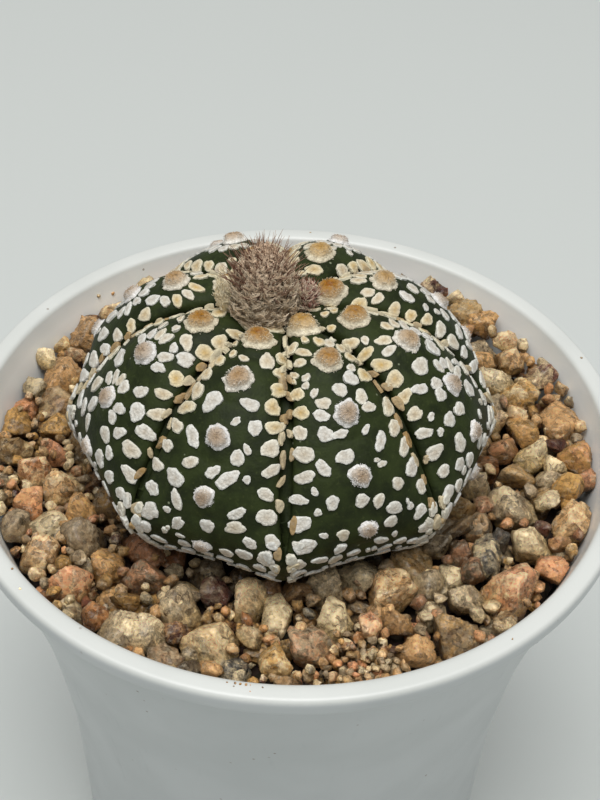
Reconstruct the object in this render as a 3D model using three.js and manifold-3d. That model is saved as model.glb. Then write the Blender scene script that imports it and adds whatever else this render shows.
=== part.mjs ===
// A star cactus in a white plastic pot: an eight-ribbed dome covered in chalky flecks, woolly
// areoles along its rib crests, one large and one small woolly bud at the crown, and a bed of
// crushed stone around it. Millimetres, +Z up. The pot stands on z = 0 with its axis on Z, and
// the side that is usually looked at faces -Y. Azimuths start at -Y and grow towards +X.
import * as THREE from 'three';
import * as BufferGeometryUtils from 'three/addons/utils/BufferGeometryUtils.js';
import Module from 'manifold-3d';

const wasm = await Module();
wasm.setup();

// Clearance left between neighbouring pieces, and the size under which a detail is smoothed away.
const GAP = 0.35;
const SMALLEST_DETAIL = 0.06;

// Pot
const POT_HEIGHT = 78;
const LIP_RADIUS = 42.5;
const LIP_DEPTH = 3.4;
const WALL = 1.4;
const FLOOR_UNDERSIDE = 1.4;
const FLOOR_THICKNESS = 1.8;
const FOOT_WIDTH = 3.2;
const POT_SEGMENTS = 36;
const DRAIN_RADIUS = 3.5;
const DRAIN_RING_RADIUS = 17;
const DRAIN_COUNT = 6;
// Outer wall, foot to lip, as [radius, height]: nearly straight at first, then flaring out.
const POT_WALL = [[30.6, 0.8], [31.3, 22], [32.2, 34], [34.6, 51], [37.4, 63],
  [40.2, POT_HEIGHT - LIP_DEPTH]];
// Lip, from its underside out and over its flat top to its inner edge, as [radius, height].
const LIP = [[41.6, POT_HEIGHT - 3.1], [42.3, POT_HEIGHT - 2.5], [LIP_RADIUS, POT_HEIGHT - 1.7],
  [LIP_RADIUS, POT_HEIGHT - 0.7], [42.2, POT_HEIGHT - 0.1], [41.7, POT_HEIGHT],
  [40.5, POT_HEIGHT], [40, POT_HEIGHT - 0.3], [39.7, POT_HEIGHT - 1]];

// Stone bed
const BED_TOP = POT_HEIGHT - 8;
const BED_SEGMENTS = 32;
const GRAIN_LEVEL = POT_HEIGHT - 6.4;
const GRAIN_LEVEL_SPREAD = 0.9;
const GRAIN_RADIUS_MIN = 3.1;
const GRAIN_RADIUS_MAX = 4;
const GRAIN_STRETCH = 1.05;
const GRAIN_SQUEEZE = 0.85;
const GRAIN_PUSH = 1.1;
const GRAIN_PULL = 0.82;
const GRAIN_SPACING = 6.5;
const GRAIN_RINGS = [25.4, 29.7, 34.1];
// How far a stone strays from its even place in a ring, as a share of the spacing.
const GRAIN_STRAY = 0.17;
const BED_SLOPE = 0.025;
const GRAIN_SEED = 11;
const PEBBLE_COUNT = 12;
const PEBBLE_RADIUS = 2.3;

// Cactus body, in its own frame: the crown is up, the root is down.
const BODY_CENTRE = new THREE.Vector3(-1.45, -0.75, POT_HEIGHT + 2.6);
const BODY_LEAN = THREE.MathUtils.degToRad(-3.5);
const GROOVE_AZIMUTHS = [-127, -85.5, -39.5, 2.5, 45, 91, 137, 181];
// Rib crest and groove bottom as [radius, height], from the crown over the belly to the root tip.
const ROOT = [[15.5, -12.5], [10, -21], [5, -30], [0, -36]];
const CREST = [[0, 15.6], [5, 17], [11, 17.4], [16.3, 15.7], [21, 12.1], [25, 7], [25.7, 0.9],
  [22.1, -4.9], [17, -8.8], ...ROOT];
const GROOVE = [[0, 15.6], [4.6, 15.9], [9.6, 15.2], [14.5, 13.8], [19, 11], [23, 6.4], [24.9, 0.6],
  [21.3, -4.9], [16.6, -8.8], ...ROOT];
const RIB_FULLNESS = 0.55;
// Under the belly the ribs run out into flat sides with a corner at each groove: how much further
// out the corners stand, at the same places down the body.
const CORNER = [0, 0, 0, 0, 0, 0, 2.5, 2.8, 2.4, 0, 0, 0, 0];
const RIB_STEPS = [0, 0.12, 0.36, 0.64, 0.88];
const BODY_ROWS = 15;

// Areoles: distances down the rib crest, as shares of the way from the crown to the root tip.
const AREOLE_STATIONS = [0.15, 0.235, 0.33, 0.425, 0.51];
const AREOLE_RADIUS = 1.75;
const AREOLE_HEIGHT = 1.1;
const AREOLE_SIDES = 7;

// Flecks: pads with a smaller top, strewn between two distances down the ribs.
const FLECKS_PER_RIB = 18;
const FLECK_TRIES = 1500;
const FLECK_RADIUS = 1.7;
const FLECK_RISE = 0.6;
const FLECK_SINK = 0.9;
const FLECK_SIDES = 4;
const FLECK_TOP = 0.78;
const FLECK_NARROWEST = 0.75;
const FLECK_SEED = 7;
const FLECK_SPACING = 3.9;
const FLECK_RANGE = [0.11, 0.6];
const FLECK_EDGE = 0.1;
const PAD_CLEARANCE = 0.35;

// Buds: where each stands on the crown, its core's half width and half height, and its hairs. Hairs
// start a little under the core's surface, between two heights on it, and lean out and up.
const LARGE_BUD = {
  azimuth: -58, station: 0.055, width: 3.7, height: 5.4, hairs: 64, hairLength: 3, hairRadius: 0.45, seed: 61,
};
const SMALL_BUD = {
  azimuth: 95, station: 0.06, width: 1.3, height: 1.8, hairs: 20, hairLength: 1.6, hairRadius: 0.32, seed: 62,
};
const BUD_CLEARANCE = 1.1;
const BUD_CORE_SIDES = 10;
const BUD_CORE_RINGS = 7;
const HAIR_SIDES = 3;
const HAIR_ROOT = 0.82;
const HAIR_HEIGHTS = [-0.45, 0.95];
const HAIR_SWAY = 0.5;
const HAIR_SPREAD = 0.9;
const HAIR_LIFT = [0.5, 1.2];
const HAIR_LENGTHS = [0.75, 1.1];

// Repeatable random numbers from 0 to 1.
function randomFrom(seed) {
  let state = seed;
  return () => {
    state = (state + 0x6D2B79F5) | 0;
    let mixed = Math.imul(state ^ (state >>> 15), 1 | state);
    mixed = (mixed + Math.imul(mixed ^ (mixed >>> 7), 61 | mixed)) ^ mixed;
    return ((mixed ^ (mixed >>> 14)) >>> 0) / 4294967296;
  };
}

function between(random, low, high) {
  return low + (high - low) * random();
}

// A closed geometry as a solid that can be joined and cut.
function toSolid(geometry) {
  const bare = geometry.clone();
  bare.deleteAttribute('normal');
  bare.deleteAttribute('uv');
  const merged = BufferGeometryUtils.mergeVertices(bare, 1e-4);
  const corners = merged.getIndex().array;
  const kept = [];
  for (let i = 0; i < corners.length; i += 3) {
    const [a, b, c] = corners.slice(i, i + 3);
    if (a !== b && b !== c && c !== a) {
      kept.push(a, b, c);
    }
  }
  return new wasm.Manifold(new wasm.Mesh({
    numProp: 3,
    vertProperties: new Float32Array(merged.getAttribute('position').array),
    triVerts: new Uint32Array(kept),
  }));
}

function joinAll(solids) {
  return solids.reduce((whole, solid) => whole.add(solid));
}

// The largest part of a solid that a cut has left in several: the chips are dropped.
function largestOf(solid) {
  return solid.decompose().reduce((best, part) => (part.volume() > best.volume() ? part : best));
}

function toMesh(name, solid, material) {
  const { vertProperties, triVerts } = solid.simplify(SMALLEST_DETAIL).getMesh();
  const geometry = new THREE.BufferGeometry();
  geometry.setAttribute('position', new THREE.BufferAttribute(vertProperties, 3));
  geometry.setIndex(new THREE.BufferAttribute(triVerts, 1));
  const mesh = new THREE.Mesh(geometry, material);
  mesh.name = name;
  return mesh;
}

// A lathe turns its profile about Y, so it is tipped up to stand on Z.
function turned(profile, segments) {
  const points = profile.map(([radius, height]) => new THREE.Vector2(radius, height));
  return new THREE.LatheGeometry(points, segments).rotateX(Math.PI / 2);
}

// A closed grid of points: the first and last rows are single points, and columns wrap round.
function closedGrid(rows, columns, pointAt) {
  const positions = [];
  const corners = [];
  for (let row = 0; row <= rows; row += 1) {
    for (let column = 0; column < columns; column += 1) {
      positions.push(...pointAt(row, column));
    }
  }
  for (let row = 0; row < rows; row += 1) {
    for (let column = 0; column < columns; column += 1) {
      const next = (column + 1) % columns;
      const a = row * columns + column;
      const b = row * columns + next;
      const c = a + columns;
      const d = b + columns;
      corners.push(a, c, d, a, d, b);
    }
  }
  const geometry = new THREE.BufferGeometry();
  geometry.setAttribute('position', new THREE.Float32BufferAttribute(positions, 3));
  geometry.setIndex(corners);
  return geometry;
}

const bodyFrame = new THREE.Matrix4()
  .makeRotationX(BODY_LEAN)
  .setPosition(BODY_CENTRE);
const crestCurve = new THREE.SplineCurve(CREST.map(([x, y]) => new THREE.Vector2(x, y)));
const grooveCurve = new THREE.SplineCurve(GROOVE.map(([x, y]) => new THREE.Vector2(x, y)));
const cornerCurve = new THREE.SplineCurve(CORNER.map((reach) => new THREE.Vector2(reach, 0)));

// Start azimuth and width of a rib, in degrees.
function ribSpan(rib) {
  const start = GROOVE_AZIMUTHS[rib];
  const end = rib + 1 < GROOVE_AZIMUTHS.length ? GROOVE_AZIMUTHS[rib + 1] : GROOVE_AZIMUTHS[0] + 360;
  return { start, width: end - start };
}

// A point of the skin: the groove line at both edges of a rib (across = 0 or 1), the crest half way.
function skinPoint(rib, across, down) {
  const { start, width } = ribSpan(rib);
  const middle = 4 * across * (1 - across);
  const profile = grooveCurve.getPoint(down)
    .lerp(crestCurve.getPoint(down), middle ** RIB_FULLNESS)
    .addScaledVector(cornerCurve.getPoint(down), 1 - middle);
  const azimuth = THREE.MathUtils.degToRad(start + across * width);
  return new THREE.Vector3(profile.x * Math.sin(azimuth), -profile.x * Math.cos(azimuth), profile.y)
    .applyMatrix4(bodyFrame);
}

// The rib, and the place across it, that hold an azimuth.
function ribAt(azimuth) {
  for (let rib = 0; rib < GROOVE_AZIMUTHS.length; rib += 1) {
    const { start, width } = ribSpan(rib);
    const across = (azimuth - start) / width;
    if (across >= 0 && across < 1) {
      return { rib, across };
    }
  }
  return ribAt(azimuth + 360);
}

function skinNormal(rib, across, down) {
  const step = 0.004;
  const sideways = skinPoint(rib, across + step, down).sub(skinPoint(rib, across - step, down));
  const downwards = skinPoint(rib, across, down + step).sub(skinPoint(rib, across, down - step));
  return downwards.cross(sideways).normalize();
}

// Stands a piece made along Y on the skin, turned about the skin's normal.
function standOnSkin(geometry, point, normal, turn) {
  const upright = new THREE.Quaternion().setFromUnitVectors(new THREE.Vector3(0, 1, 0), normal);
  return geometry.rotateY(turn).applyQuaternion(upright).translate(point.x, point.y, point.z);
}

function budPlace(bud) {
  const { rib, across } = ribAt(bud.azimuth);
  const foot = skinPoint(rib, across, bud.station);
  const centre = foot.clone().add(new THREE.Vector3(0, 0, bud.height + GAP));
  return { foot, centre };
}

function areolePlaces() {
  const places = [];
  const budFeet = [LARGE_BUD, SMALL_BUD].map((bud) => ({ foot: budPlace(bud).foot, reach: bud.width }));
  for (let rib = 0; rib < GROOVE_AZIMUTHS.length; rib += 1) {
    for (const station of AREOLE_STATIONS) {
      const point = skinPoint(rib, 0.5, station);
      const margin = AREOLE_RADIUS + BUD_CLEARANCE;
      const free = budFeet.every(({ foot, reach }) => point.distanceTo(foot) > reach + margin);
      if (free) {
        places.push({ rib, across: 0.5, station, point });
      }
    }
  }
  return places;
}

// A woolly tuft: a low dome of few sides, sunk into the skin.
function areole({ rib, across, station, point }) {
  const dome = new THREE.SphereGeometry(AREOLE_RADIUS, AREOLE_SIDES, 4)
    .scale(1, AREOLE_HEIGHT / AREOLE_RADIUS, 1);
  return toSolid(standOnSkin(dome, point, skinNormal(rib, across, station), rib));
}

// Flecks are strewn at random over each rib, no two closer than their spacing.
function flecks(areoles) {
  const random = randomFrom(FLECK_SEED);
  const taken = areoles.map(({ point }) => ({ point, reach: AREOLE_RADIUS + FLECK_RADIUS + PAD_CLEARANCE }));
  for (const bud of [LARGE_BUD, SMALL_BUD]) {
    taken.push({ point: budPlace(bud).foot, reach: bud.width + FLECK_RADIUS + PAD_CLEARANCE });
  }
  const solids = [];
  for (let rib = 0; rib < GROOVE_AZIMUTHS.length; rib += 1) {
    let placed = 0;
    for (let tries = 0; tries < FLECK_TRIES && placed < FLECKS_PER_RIB; tries += 1) {
      const across = between(random, FLECK_EDGE, 1 - FLECK_EDGE);
      const down = between(random, ...FLECK_RANGE);
      const point = skinPoint(rib, across, down);
      if (taken.every((other) => point.distanceTo(other.point) > other.reach)) {
        taken.push({ point, reach: FLECK_SPACING });
        placed += 1;
        solids.push(fleck(point, skinNormal(rib, across, down), random));
      }
    }
  }
  return solids;
}

function fleck(point, normal, random) {
  const height = FLECK_RISE + FLECK_SINK;
  const pad = new THREE.CylinderGeometry(FLECK_RADIUS * FLECK_TOP, FLECK_RADIUS, height, FLECK_SIDES)
    .translate(0, (FLECK_RISE - FLECK_SINK) / 2, 0)
    .scale(between(random, FLECK_NARROWEST, 1), 1, between(random, FLECK_NARROWEST, 1));
  return toSolid(standOnSkin(pad, point, normal, random() * Math.PI * 2));
}

function cactusBody() {
  const ribs = GROOVE_AZIMUTHS.length;
  const columns = ribs * RIB_STEPS.length;
  const skin = toSolid(closedGrid(BODY_ROWS, columns, (row, column) => {
    const rib = Math.floor(column / RIB_STEPS.length);
    const across = RIB_STEPS[column % RIB_STEPS.length];
    return skinPoint(rib, across, row / BODY_ROWS).toArray();
  }));
  const areoles = areolePlaces();
  return joinAll([skin, ...areoles.map(areole), ...flecks(areoles)]);
}

// The room that the body and its root take in the stone bed, a little larger than they are.
function bodyRoom() {
  const rootMargin = 2 * GAP;
  const shoulder = 3;
  const neck = CREST.length - ROOT.length;
  const belly = CREST.slice(0, neck).map(([radius, height], i) => {
    const corner = GROOVE[i][0] + CORNER[i] + FLECK_RISE;
    return [Math.max(radius + AREOLE_HEIGHT, corner) + GAP, height];
  }).slice(shoulder);
  const roots = ROOT.slice(0, -1).map(([radius, height]) => [radius + rootMargin, height]);
  const top = [0, CREST[shoulder][1]];
  const tip = [0, ROOT[ROOT.length - 1][1] - rootMargin];
  const profile = [tip, ...roots.reverse(), ...belly.reverse(), top];
  return toSolid(turned(profile, BED_SEGMENTS).applyMatrix4(bodyFrame));
}

// Inner radius of the pot at a height.
function innerRadius(height) {
  const above = POT_WALL.slice(1, -1).filter(([, level]) => level < height).length + 1;
  const [lowRadius, low] = POT_WALL[above - 1];
  const [highRadius, high] = POT_WALL[above];
  return THREE.MathUtils.mapLinear(height, low, high, lowRadius, highRadius) - WALL;
}

// A stone: a twenty-sided lump with its corners pushed in and out, stretched and turned at random.
function grain(x, y, z, radius, random) {
  const faceted = new THREE.IcosahedronGeometry(radius, 0).deleteAttribute('normal').deleteAttribute('uv');
  const lump = BufferGeometryUtils.mergeVertices(faceted);
  const corners = lump.getAttribute('position');
  for (let i = 0; i < corners.count; i += 1) {
    const push = between(random, GRAIN_PULL, GRAIN_PUSH);
    corners.setXYZ(i, corners.getX(i) * push, corners.getY(i) * push, corners.getZ(i) * push);
  }
  const stretch = () => between(random, GRAIN_SQUEEZE, GRAIN_STRETCH);
  lump.scale(stretch(), stretch(), stretch());
  lump.rotateX(random() * Math.PI).rotateZ(random() * Math.PI * 2);
  return toSolid(lump.translate(x, y, z));
}

function grains() {
  const random = randomFrom(GRAIN_SEED);
  const stones = [];
  for (const ring of GRAIN_RINGS) {
    const count = Math.round((2 * Math.PI * ring) / GRAIN_SPACING);
    for (let i = 0; i < count; i += 1) {
      const angle = ((i + between(random, -GRAIN_STRAY, GRAIN_STRAY)) / count) * Math.PI * 2;
      const reach = ring - random() * GRAIN_STRAY * GRAIN_SPACING;
      const x = reach * Math.sin(angle);
      const z = GRAIN_LEVEL + between(random, -GRAIN_LEVEL_SPREAD, GRAIN_LEVEL_SPREAD) + BED_SLOPE * x;
      const room = (innerRadius(z) - GAP - reach) / (GRAIN_STRETCH * GRAIN_PUSH);
      const radius = Math.min(between(random, GRAIN_RADIUS_MIN, GRAIN_RADIUS_MAX), room);
      stones.push(grain(x, -reach * Math.cos(angle), z, radius, random));
    }
  }
  for (let i = 0; i < PEBBLE_COUNT; i += 1) {
    const angle = random() * Math.PI * 2;
    const reach = between(random, GRAIN_RINGS[1], GRAIN_RINGS[2]);
    const z = BED_TOP + PEBBLE_RADIUS / 2;
    stones.push(grain(reach * Math.sin(angle), -reach * Math.cos(angle), z, PEBBLE_RADIUS, random));
  }
  return stones;
}

function stoneBed() {
  const floor = FLOOR_UNDERSIDE + FLOOR_THICKNESS + GAP;
  const outline = POT_WALL.slice(1, -1).map(([, height]) => [innerRadius(height) - GAP, height]);
  const core = toSolid(turned([
    [0, floor],
    [innerRadius(floor) - GAP, floor],
    ...outline,
    [innerRadius(BED_TOP) - GAP, BED_TOP],
    [0, BED_TOP],
  ], BED_SEGMENTS));
  return largestOf(joinAll([core, ...grains()]).subtract(bodyRoom()));
}

function pot() {
  const foot = POT_WALL[0][0];
  const inside = POT_WALL.slice(1).map(([radius, height]) => [radius - WALL, height]).reverse();
  const floorTop = FLOOR_UNDERSIDE + FLOOR_THICKNESS;
  const shell = toSolid(turned([
    [0, FLOOR_UNDERSIDE],
    [foot - FOOT_WIDTH, FLOOR_UNDERSIDE],
    [foot - FOOT_WIDTH, 0],
    [foot - 0.8, 0],
    ...POT_WALL,
    ...LIP,
    ...inside,
    [foot - WALL, floorTop],
    [0, floorTop],
  ], POT_SEGMENTS));
  const drains = [];
  for (let i = 0; i < DRAIN_COUNT; i += 1) {
    const angle = (i / DRAIN_COUNT) * Math.PI * 2;
    drains.push(toSolid(new THREE.CylinderGeometry(DRAIN_RADIUS, DRAIN_RADIUS, FLOOR_THICKNESS * 3, 16)
      .rotateX(Math.PI / 2)
      .translate(DRAIN_RING_RADIUS * Math.cos(angle), DRAIN_RING_RADIUS * Math.sin(angle), floorTop)));
  }
  return shell.subtract(joinAll(drains));
}

// A bud: a slim egg-shaped core with tapering hairs that rise and spread from it.
function bud(spec) {
  const random = randomFrom(spec.seed);
  const { centre } = budPlace(spec);
  const core = new THREE.SphereGeometry(1, BUD_CORE_SIDES, BUD_CORE_RINGS)
    .rotateX(Math.PI / 2)
    .scale(spec.width, spec.width, spec.height)
    .translate(centre.x, centre.y, centre.z);
  const solids = [toSolid(core)];
  for (let i = 0; i < spec.hairs; i += 1) {
    const height = between(random, ...HAIR_HEIGHTS);
    const girth = Math.sqrt(1 - height * height);
    const angle = random() * Math.PI * 2;
    const lean = angle + between(random, -HAIR_SWAY, HAIR_SWAY);
    const root = new THREE.Vector3(girth * Math.cos(angle), girth * Math.sin(angle), height)
      .multiply(new THREE.Vector3(spec.width, spec.width, spec.height))
      .multiplyScalar(HAIR_ROOT)
      .add(centre);
    const aim = new THREE.Vector3(Math.cos(lean), Math.sin(lean), 0)
      .multiplyScalar(girth * HAIR_SPREAD)
      .setZ(between(random, ...HAIR_LIFT))
      .normalize();
    const length = spec.hairLength * between(random, ...HAIR_LENGTHS);
    const hair = new THREE.ConeGeometry(spec.hairRadius, length, HAIR_SIDES).translate(0, length / 2, 0);
    solids.push(toSolid(standOnSkin(hair, root, aim, random() * Math.PI)));
  }
  return joinAll(solids);
}

const whitePlastic = new THREE.MeshStandardMaterial({ color: 0xe6e7e4, roughness: 0.42, metalness: 0 });
const crushedStone = new THREE.MeshStandardMaterial({ color: 0xa08260, roughness: 0.8, metalness: 0 });
const cactusSkin = new THREE.MeshStandardMaterial({ color: 0x35442d, roughness: 0.6, metalness: 0 });
const greyWool = new THREE.MeshStandardMaterial({ color: 0x9a8079, roughness: 0.95, metalness: 0 });
const purpleWool = new THREE.MeshStandardMaterial({ color: 0x7a5560, roughness: 0.95, metalness: 0 });

const pottedCactus = new THREE.Group();
pottedCactus.add(
  toMesh('pot', pot(), whitePlastic),
  toMesh('stone_bed', stoneBed(), crushedStone),
  toMesh('cactus_body', cactusBody(), cactusSkin),
  toMesh('bud_large', bud(LARGE_BUD), greyWool),
  toMesh('bud_small', bud(SMALL_BUD), purpleWool),
);

export default pottedCactus;
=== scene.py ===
"""Potted star cactus: the looks over its frame, laid out as a Blender add-on."""

from collections import namedtuple

import bmesh
import bpy
import numpy as np
from bpy.props import FloatProperty, FloatVectorProperty, IntProperty, PointerProperty
from mathutils import Matrix, Vector


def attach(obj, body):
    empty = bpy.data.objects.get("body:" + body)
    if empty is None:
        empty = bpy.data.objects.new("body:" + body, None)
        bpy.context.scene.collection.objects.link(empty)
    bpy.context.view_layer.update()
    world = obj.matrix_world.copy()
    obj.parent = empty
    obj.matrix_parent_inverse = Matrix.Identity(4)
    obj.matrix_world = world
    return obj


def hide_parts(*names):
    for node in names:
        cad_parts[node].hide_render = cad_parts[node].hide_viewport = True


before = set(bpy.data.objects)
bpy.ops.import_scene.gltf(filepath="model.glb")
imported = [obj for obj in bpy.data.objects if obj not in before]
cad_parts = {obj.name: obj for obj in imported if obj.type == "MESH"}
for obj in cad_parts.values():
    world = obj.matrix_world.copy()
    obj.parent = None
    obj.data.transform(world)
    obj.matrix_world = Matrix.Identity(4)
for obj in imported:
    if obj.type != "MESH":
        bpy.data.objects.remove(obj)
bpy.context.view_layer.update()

bl_info = {
    "name": "Potted star cactus",
    "version": (1, 0, 0),
    "blender": (4, 5, 0),
    "location": "View3D > Sidebar > Star cactus",
    "description": "Builds the pot, crushed stone, ribbed body, flecks, areoles and buds",
    "category": "Add Mesh",
}

MM = 0.001
TURN = 2 * np.pi
UP = np.array([0.0, 0.0, 1.0])

# The pot, as radius and height: its outer wall from the foot up to under the lip, the lip
# from outside to inside, the foot's ring, and the bend from the inner wall to the floor.
WALL = 1.4
POT_WALL = np.array([
    [30.6, 0.8], [31.3, 22], [32.2, 34], [34.6, 51], [37.4, 63], [40.2, 74.6],
]) * MM
LIP_CURVE = np.array([
    [40.2, 74.6], [41.5, 74.85], [42.25, 75.5], [42.45, 76.4], [42.45, 77.3], [42.15, 77.85],
    [41.5, 77.98], [40.6, 77.97], [40.0, 77.7], [39.65, 77.0], [39.0, 75.0],
]) * MM
FOOT_RING = np.array([[27.4, 1.4], [27.4, 0.1], [27.5, 0], [29.7, 0], [30.5, 0.3]]) * MM
FLOOR_BEND = np.array([[29.2, 3.9], [28.9, 3.4], [28.3, 3.2], [27.4, 3.2]]) * MM
FLOOR_REACH, FLOOR_TOP, FLOOR_UNDER = 27.4 * MM, 3.2 * MM, 1.4 * MM

# The filling under the stones, as radius and height from its foot to the middle of its top.
GRIT_OUTLINE = np.array([
    [26, 3.6], [28.6, 3.9], [29.6, 22], [30.6, 34], [33.0, 51], [36.2, 65], [37.0, 69.2],
    [36.0, 70.2], [32, 70.4], [28, 70.4], [24, 70.4], [20, 70.4], [15, 70.4], [8, 70.4],
]) * MM

# The body: meridians over a rib's crest and down a groove, as radius and height.
ROOT = [[15.5, -12.5], [10, -21], [5, -30], [0, -36]]
CREST = np.array([
    [0, 15.6], [5, 17], [11, 17.4], [16.3, 15.7], [20.7, 12], [24.4, 6.9], [25.1, 0.9],
    [22.1, -4.9], [17, -8.8], *ROOT,
]) * MM
GROOVE = np.array([
    [0, 15.6], [4.6, 15.9], [9.6, 15.2], [14.5, 13.8], [18.9, 11], [22.6, 6.3], [24.7, 0.6],
    [21.3, -4.9], [16.6, -8.8], *ROOT,
]) * MM
# Under the belly the ribs run out into flat sides with a corner at each groove: how much
# further out the corners stand, at the same places down the body.
CORNER = np.array([0, 0, 0, 0, 0, 0, 1.9, 2.8, 2.4, 0, 0, 0, 0])[:, None] * MM
KNOT_ANGLES = [0, 16, 32, 46, 60, 74, 88, 102, 116]
GROOVE_AZIMUTHS = np.radians([-127, -85.5, -39.5, 2.5, 45, 91, 137, 181, 233])
RIBS = 8
BODY_CENTRE = np.array([-1.45, -0.75, 80.6]) * MM
BODY_LEAN = np.radians(-3.5)
CREASE_WIDTH = 0.62 * MM

# Areoles down each rib, as degrees from the crown, and the seed of how far each one stands
# off the middle of its rib.
AREOLE_ANGLES = [
    [22, 39, 56, 73],
    [32, 50, 66, 82],
    [26, 42, 59, 74, 90],
    [17, 35, 52, 68, 83],
    [26, 43, 61, 75, 90],
    [18, 36, 59, 76],
    [31, 50, 67, 84],
    [27, 45, 60, 76],
]
PLACE_SEED = 8
# How far the uppermost areole of each rib has turned from gold to rust.
CROWN_WARMTH = [0.6, 0.8, 0.9, 0.3, 0.8, 1.0, 0.2, 0.6]
# Section of an areole: share of its radius, share of its height, raggedness, and how far its
# colour has gone from the rim's to the middle's.
AREOLE_SECTION = np.array([
    [0.80, -0.30, 0.5, 0], [0.97, 0.06, 1.0, 0], [1.00, 0.20, 1.0, 0], [0.88, 0.30, 0.7, 0],
    [0.80, 0.40, 0.4, 0.1], [0.76, 0.60, 0.2, 0.6], [0.68, 0.80, 0.1, 0.85],
    [0.52, 0.95, 0, 1.0], [0.32, 1.0, 0, 1.1], [0.14, 0.95, 0, 1.2],
])
# Section of a fleck: share of its radius, share of its thickness, and raggedness.
FLECK_SECTION = [(0.96, -0.5, 1.0), (1.0, 0.84, 1.0), (0.78, 1.0, 0.5)]

# Rib, across and station of each bud.
BUD = (1, 0.598, 0.055)
YOUNG_BUD = (5, 0.087, 0.06)

# Each swatch of stone, with the share of stones that have it as their own colour and the
# share that have it as their crust's.
SWATCHES = {
    "tan": (0.29, 0.20),
    "ochre": (0.17, 0.10),
    "grey": (0.20, 0.12),
    "rose": (0.07, 0.11),
    "cream": (0.11, 0.43),
    "rust": (0.04, 0.02),
    "maroon": (0.03, 0),
    "black": (0.02, 0),
    "slate": (0.07, 0.02),
}
# Stones that stand out, by swatch: each one's place and radius in millimetres.
NOTED_STONES = {
    "cream": [
        (-8.2, -31.3, 3.2), (-1.0, -27.5, 2.3), (-4.4, -25.3, 2.1), (5.5, -27.8, 2.2),
        (29.3, -15.4, 2.4), (31.0, -0.2, 2.2),
    ],
    "grey": [
        (-17.5, -30.3, 3.3), (27.6, -9.7, 2.9), (21.0, -24.0, 2.6), (4.6, -23.2, 2.5),
        (3.2, -31.9, 2.6), (-12.1, -27.1, 2.4), (23.4, -6.0, 2.0), (-33.8, -15.0, 2.0),
    ],
    "slate": [(19.4, -29.0, 2.9), (-16.7, -22.1, 2.5), (-24.4, -16.4, 2.7)],
    "rose": [
        (26.5, -22.4, 3.1), (31.5, -19.2, 1.9), (-25.2, -23.5, 2.3), (-32.4, -11.0, 2.1),
        (9.8, -29.1, 1.5),
    ],
    "tan": [
        (35.2, 6.9, 2.9), (14.9, -31.9, 2.3), (12.2, -23.4, 2.7), (-21.4, -20.6, 2.2),
        (-29.8, -18.7, 2.3), (-28.8, -7.7, 2.3), (34.5, -11.8, 2.6), (29.3, 17.3, 2.2),
        (26.3, 25.3, 2.0),
    ],
    "ochre": [
        (-1.3, -34.2, 2.0), (-36.4, 3.4, 2.3), (36.6, -0.1, 2.2), (29.9, 10.7, 2.1),
        (29.9, 4.3, 2.0), (28.5, -3.8, 2.0), (34.5, -6.4, 1.9), (-31.1, 2.7, 2.0),
    ],
    "rust": [(-22.2, -28.1, 1.6)],
    "maroon": [(33.2, 14.2, 2.0), (-8.4, -23.8, 2.1)],
    "black": [(23.9, -17.4, 2.2)],
}
# Where the drift of fine grit lies and how far it spreads, and how many of the highest
# stones have fine faces.
DRIFT_PLACE, DRIFT_SPREAD = np.array([9.2, -34.6]) * MM, 2.0 * MM
TOP_STONES = 110
# A stone's shape: facet planes, the p of the norm that blends them, its furthest reach
# before folds, the folds' wavinesses, and how much larger it is than the ball that was
# dropped, so that it fills the ball and touches its neighbours.
PLANES, SHARP, FURTHEST = 13, 40.0, 1.26
FOLDS = (2.6, 5.0, 9.0, 14.0)
FILL, TOUCH = 1.09, 1.14
# Share of a ball's radius that stays inside the pot and under the level.
INSIDE = 0.62

# Stage, in metres: the camera's place, the way back to it and its roll, and the lights.
CAMERA_PLACE = np.array([0.68, -133.36, 205.38]) * MM
CAMERA_BACK = np.array([0.0, -0.735, 0.678])
CAMERA_ROLL = np.radians(2.31)
LIGHT_AIM, KEY_PLACE, FILL_PLACE = (0.0, 0.0, 0.07), (-0.04, -0.18, 1.20), (0.5, -0.75, 0.7)
FLOOR_HALF = 3.0

# A mesh before it is made: its points, its lists of faces, its colours by attribute, and
# which faces of the first list are flat.
Form = namedtuple("Form", "points faces tints flat", defaults=({}, None))
# Places on the body, as one array of ribs, one of acrosses and one of stations.
Spots = namedtuple("Spots", "rib across station")


def shade(red, green, blue):
    """Scene-linear colour from the 0 to 255 numbers of a paint swatch."""
    part = np.array([red, green, blue]) / 255
    return tuple(np.where(part < 0.04045, part / 12.92, ((part + 0.055) / 1.055) ** 2.4))


# Numbers and directions


def along(knots, part):
    """Point at each part, 0 to 1, of the smooth cubic through evenly spaced knots."""
    last = len(knots) - 1
    reach = np.clip(part, 0, 1) * last
    low = np.minimum(reach.astype(int), last - 1)
    w = (reach - low)[..., None]
    p0, p1 = knots[np.maximum(low - 1, 0)], knots[low]
    p2, p3 = knots[low + 1], knots[np.minimum(low + 2, last)]
    v0, v1 = (p2 - p0) / 2, (p3 - p1) / 2
    cube = (2 * p1 - 2 * p2 + v0 + v1) * w**3
    return cube + (-3 * p1 + 3 * p2 - 2 * v0 - v1) * w**2 + v0 * w + p1


def unit(vectors):
    """Each vector divided by its length."""
    return vectors / np.maximum(np.linalg.norm(vectors, axis=-1, keepdims=True), 1e-12)


def blended(one, other, part):
    """Colours part of the way from one to the other."""
    return np.array(one) * (1 - part) + np.array(other) * part


def bearings(count):
    """Angles that part a full turn into equal steps."""
    return np.arange(count) * TURN / count


def polar(radius, angle, height):
    """Points at a radius, an angle from +X and a height."""
    parts = np.broadcast_arrays(radius * np.cos(angle), radius * np.sin(angle), height)
    return np.stack(parts, -1)


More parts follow.
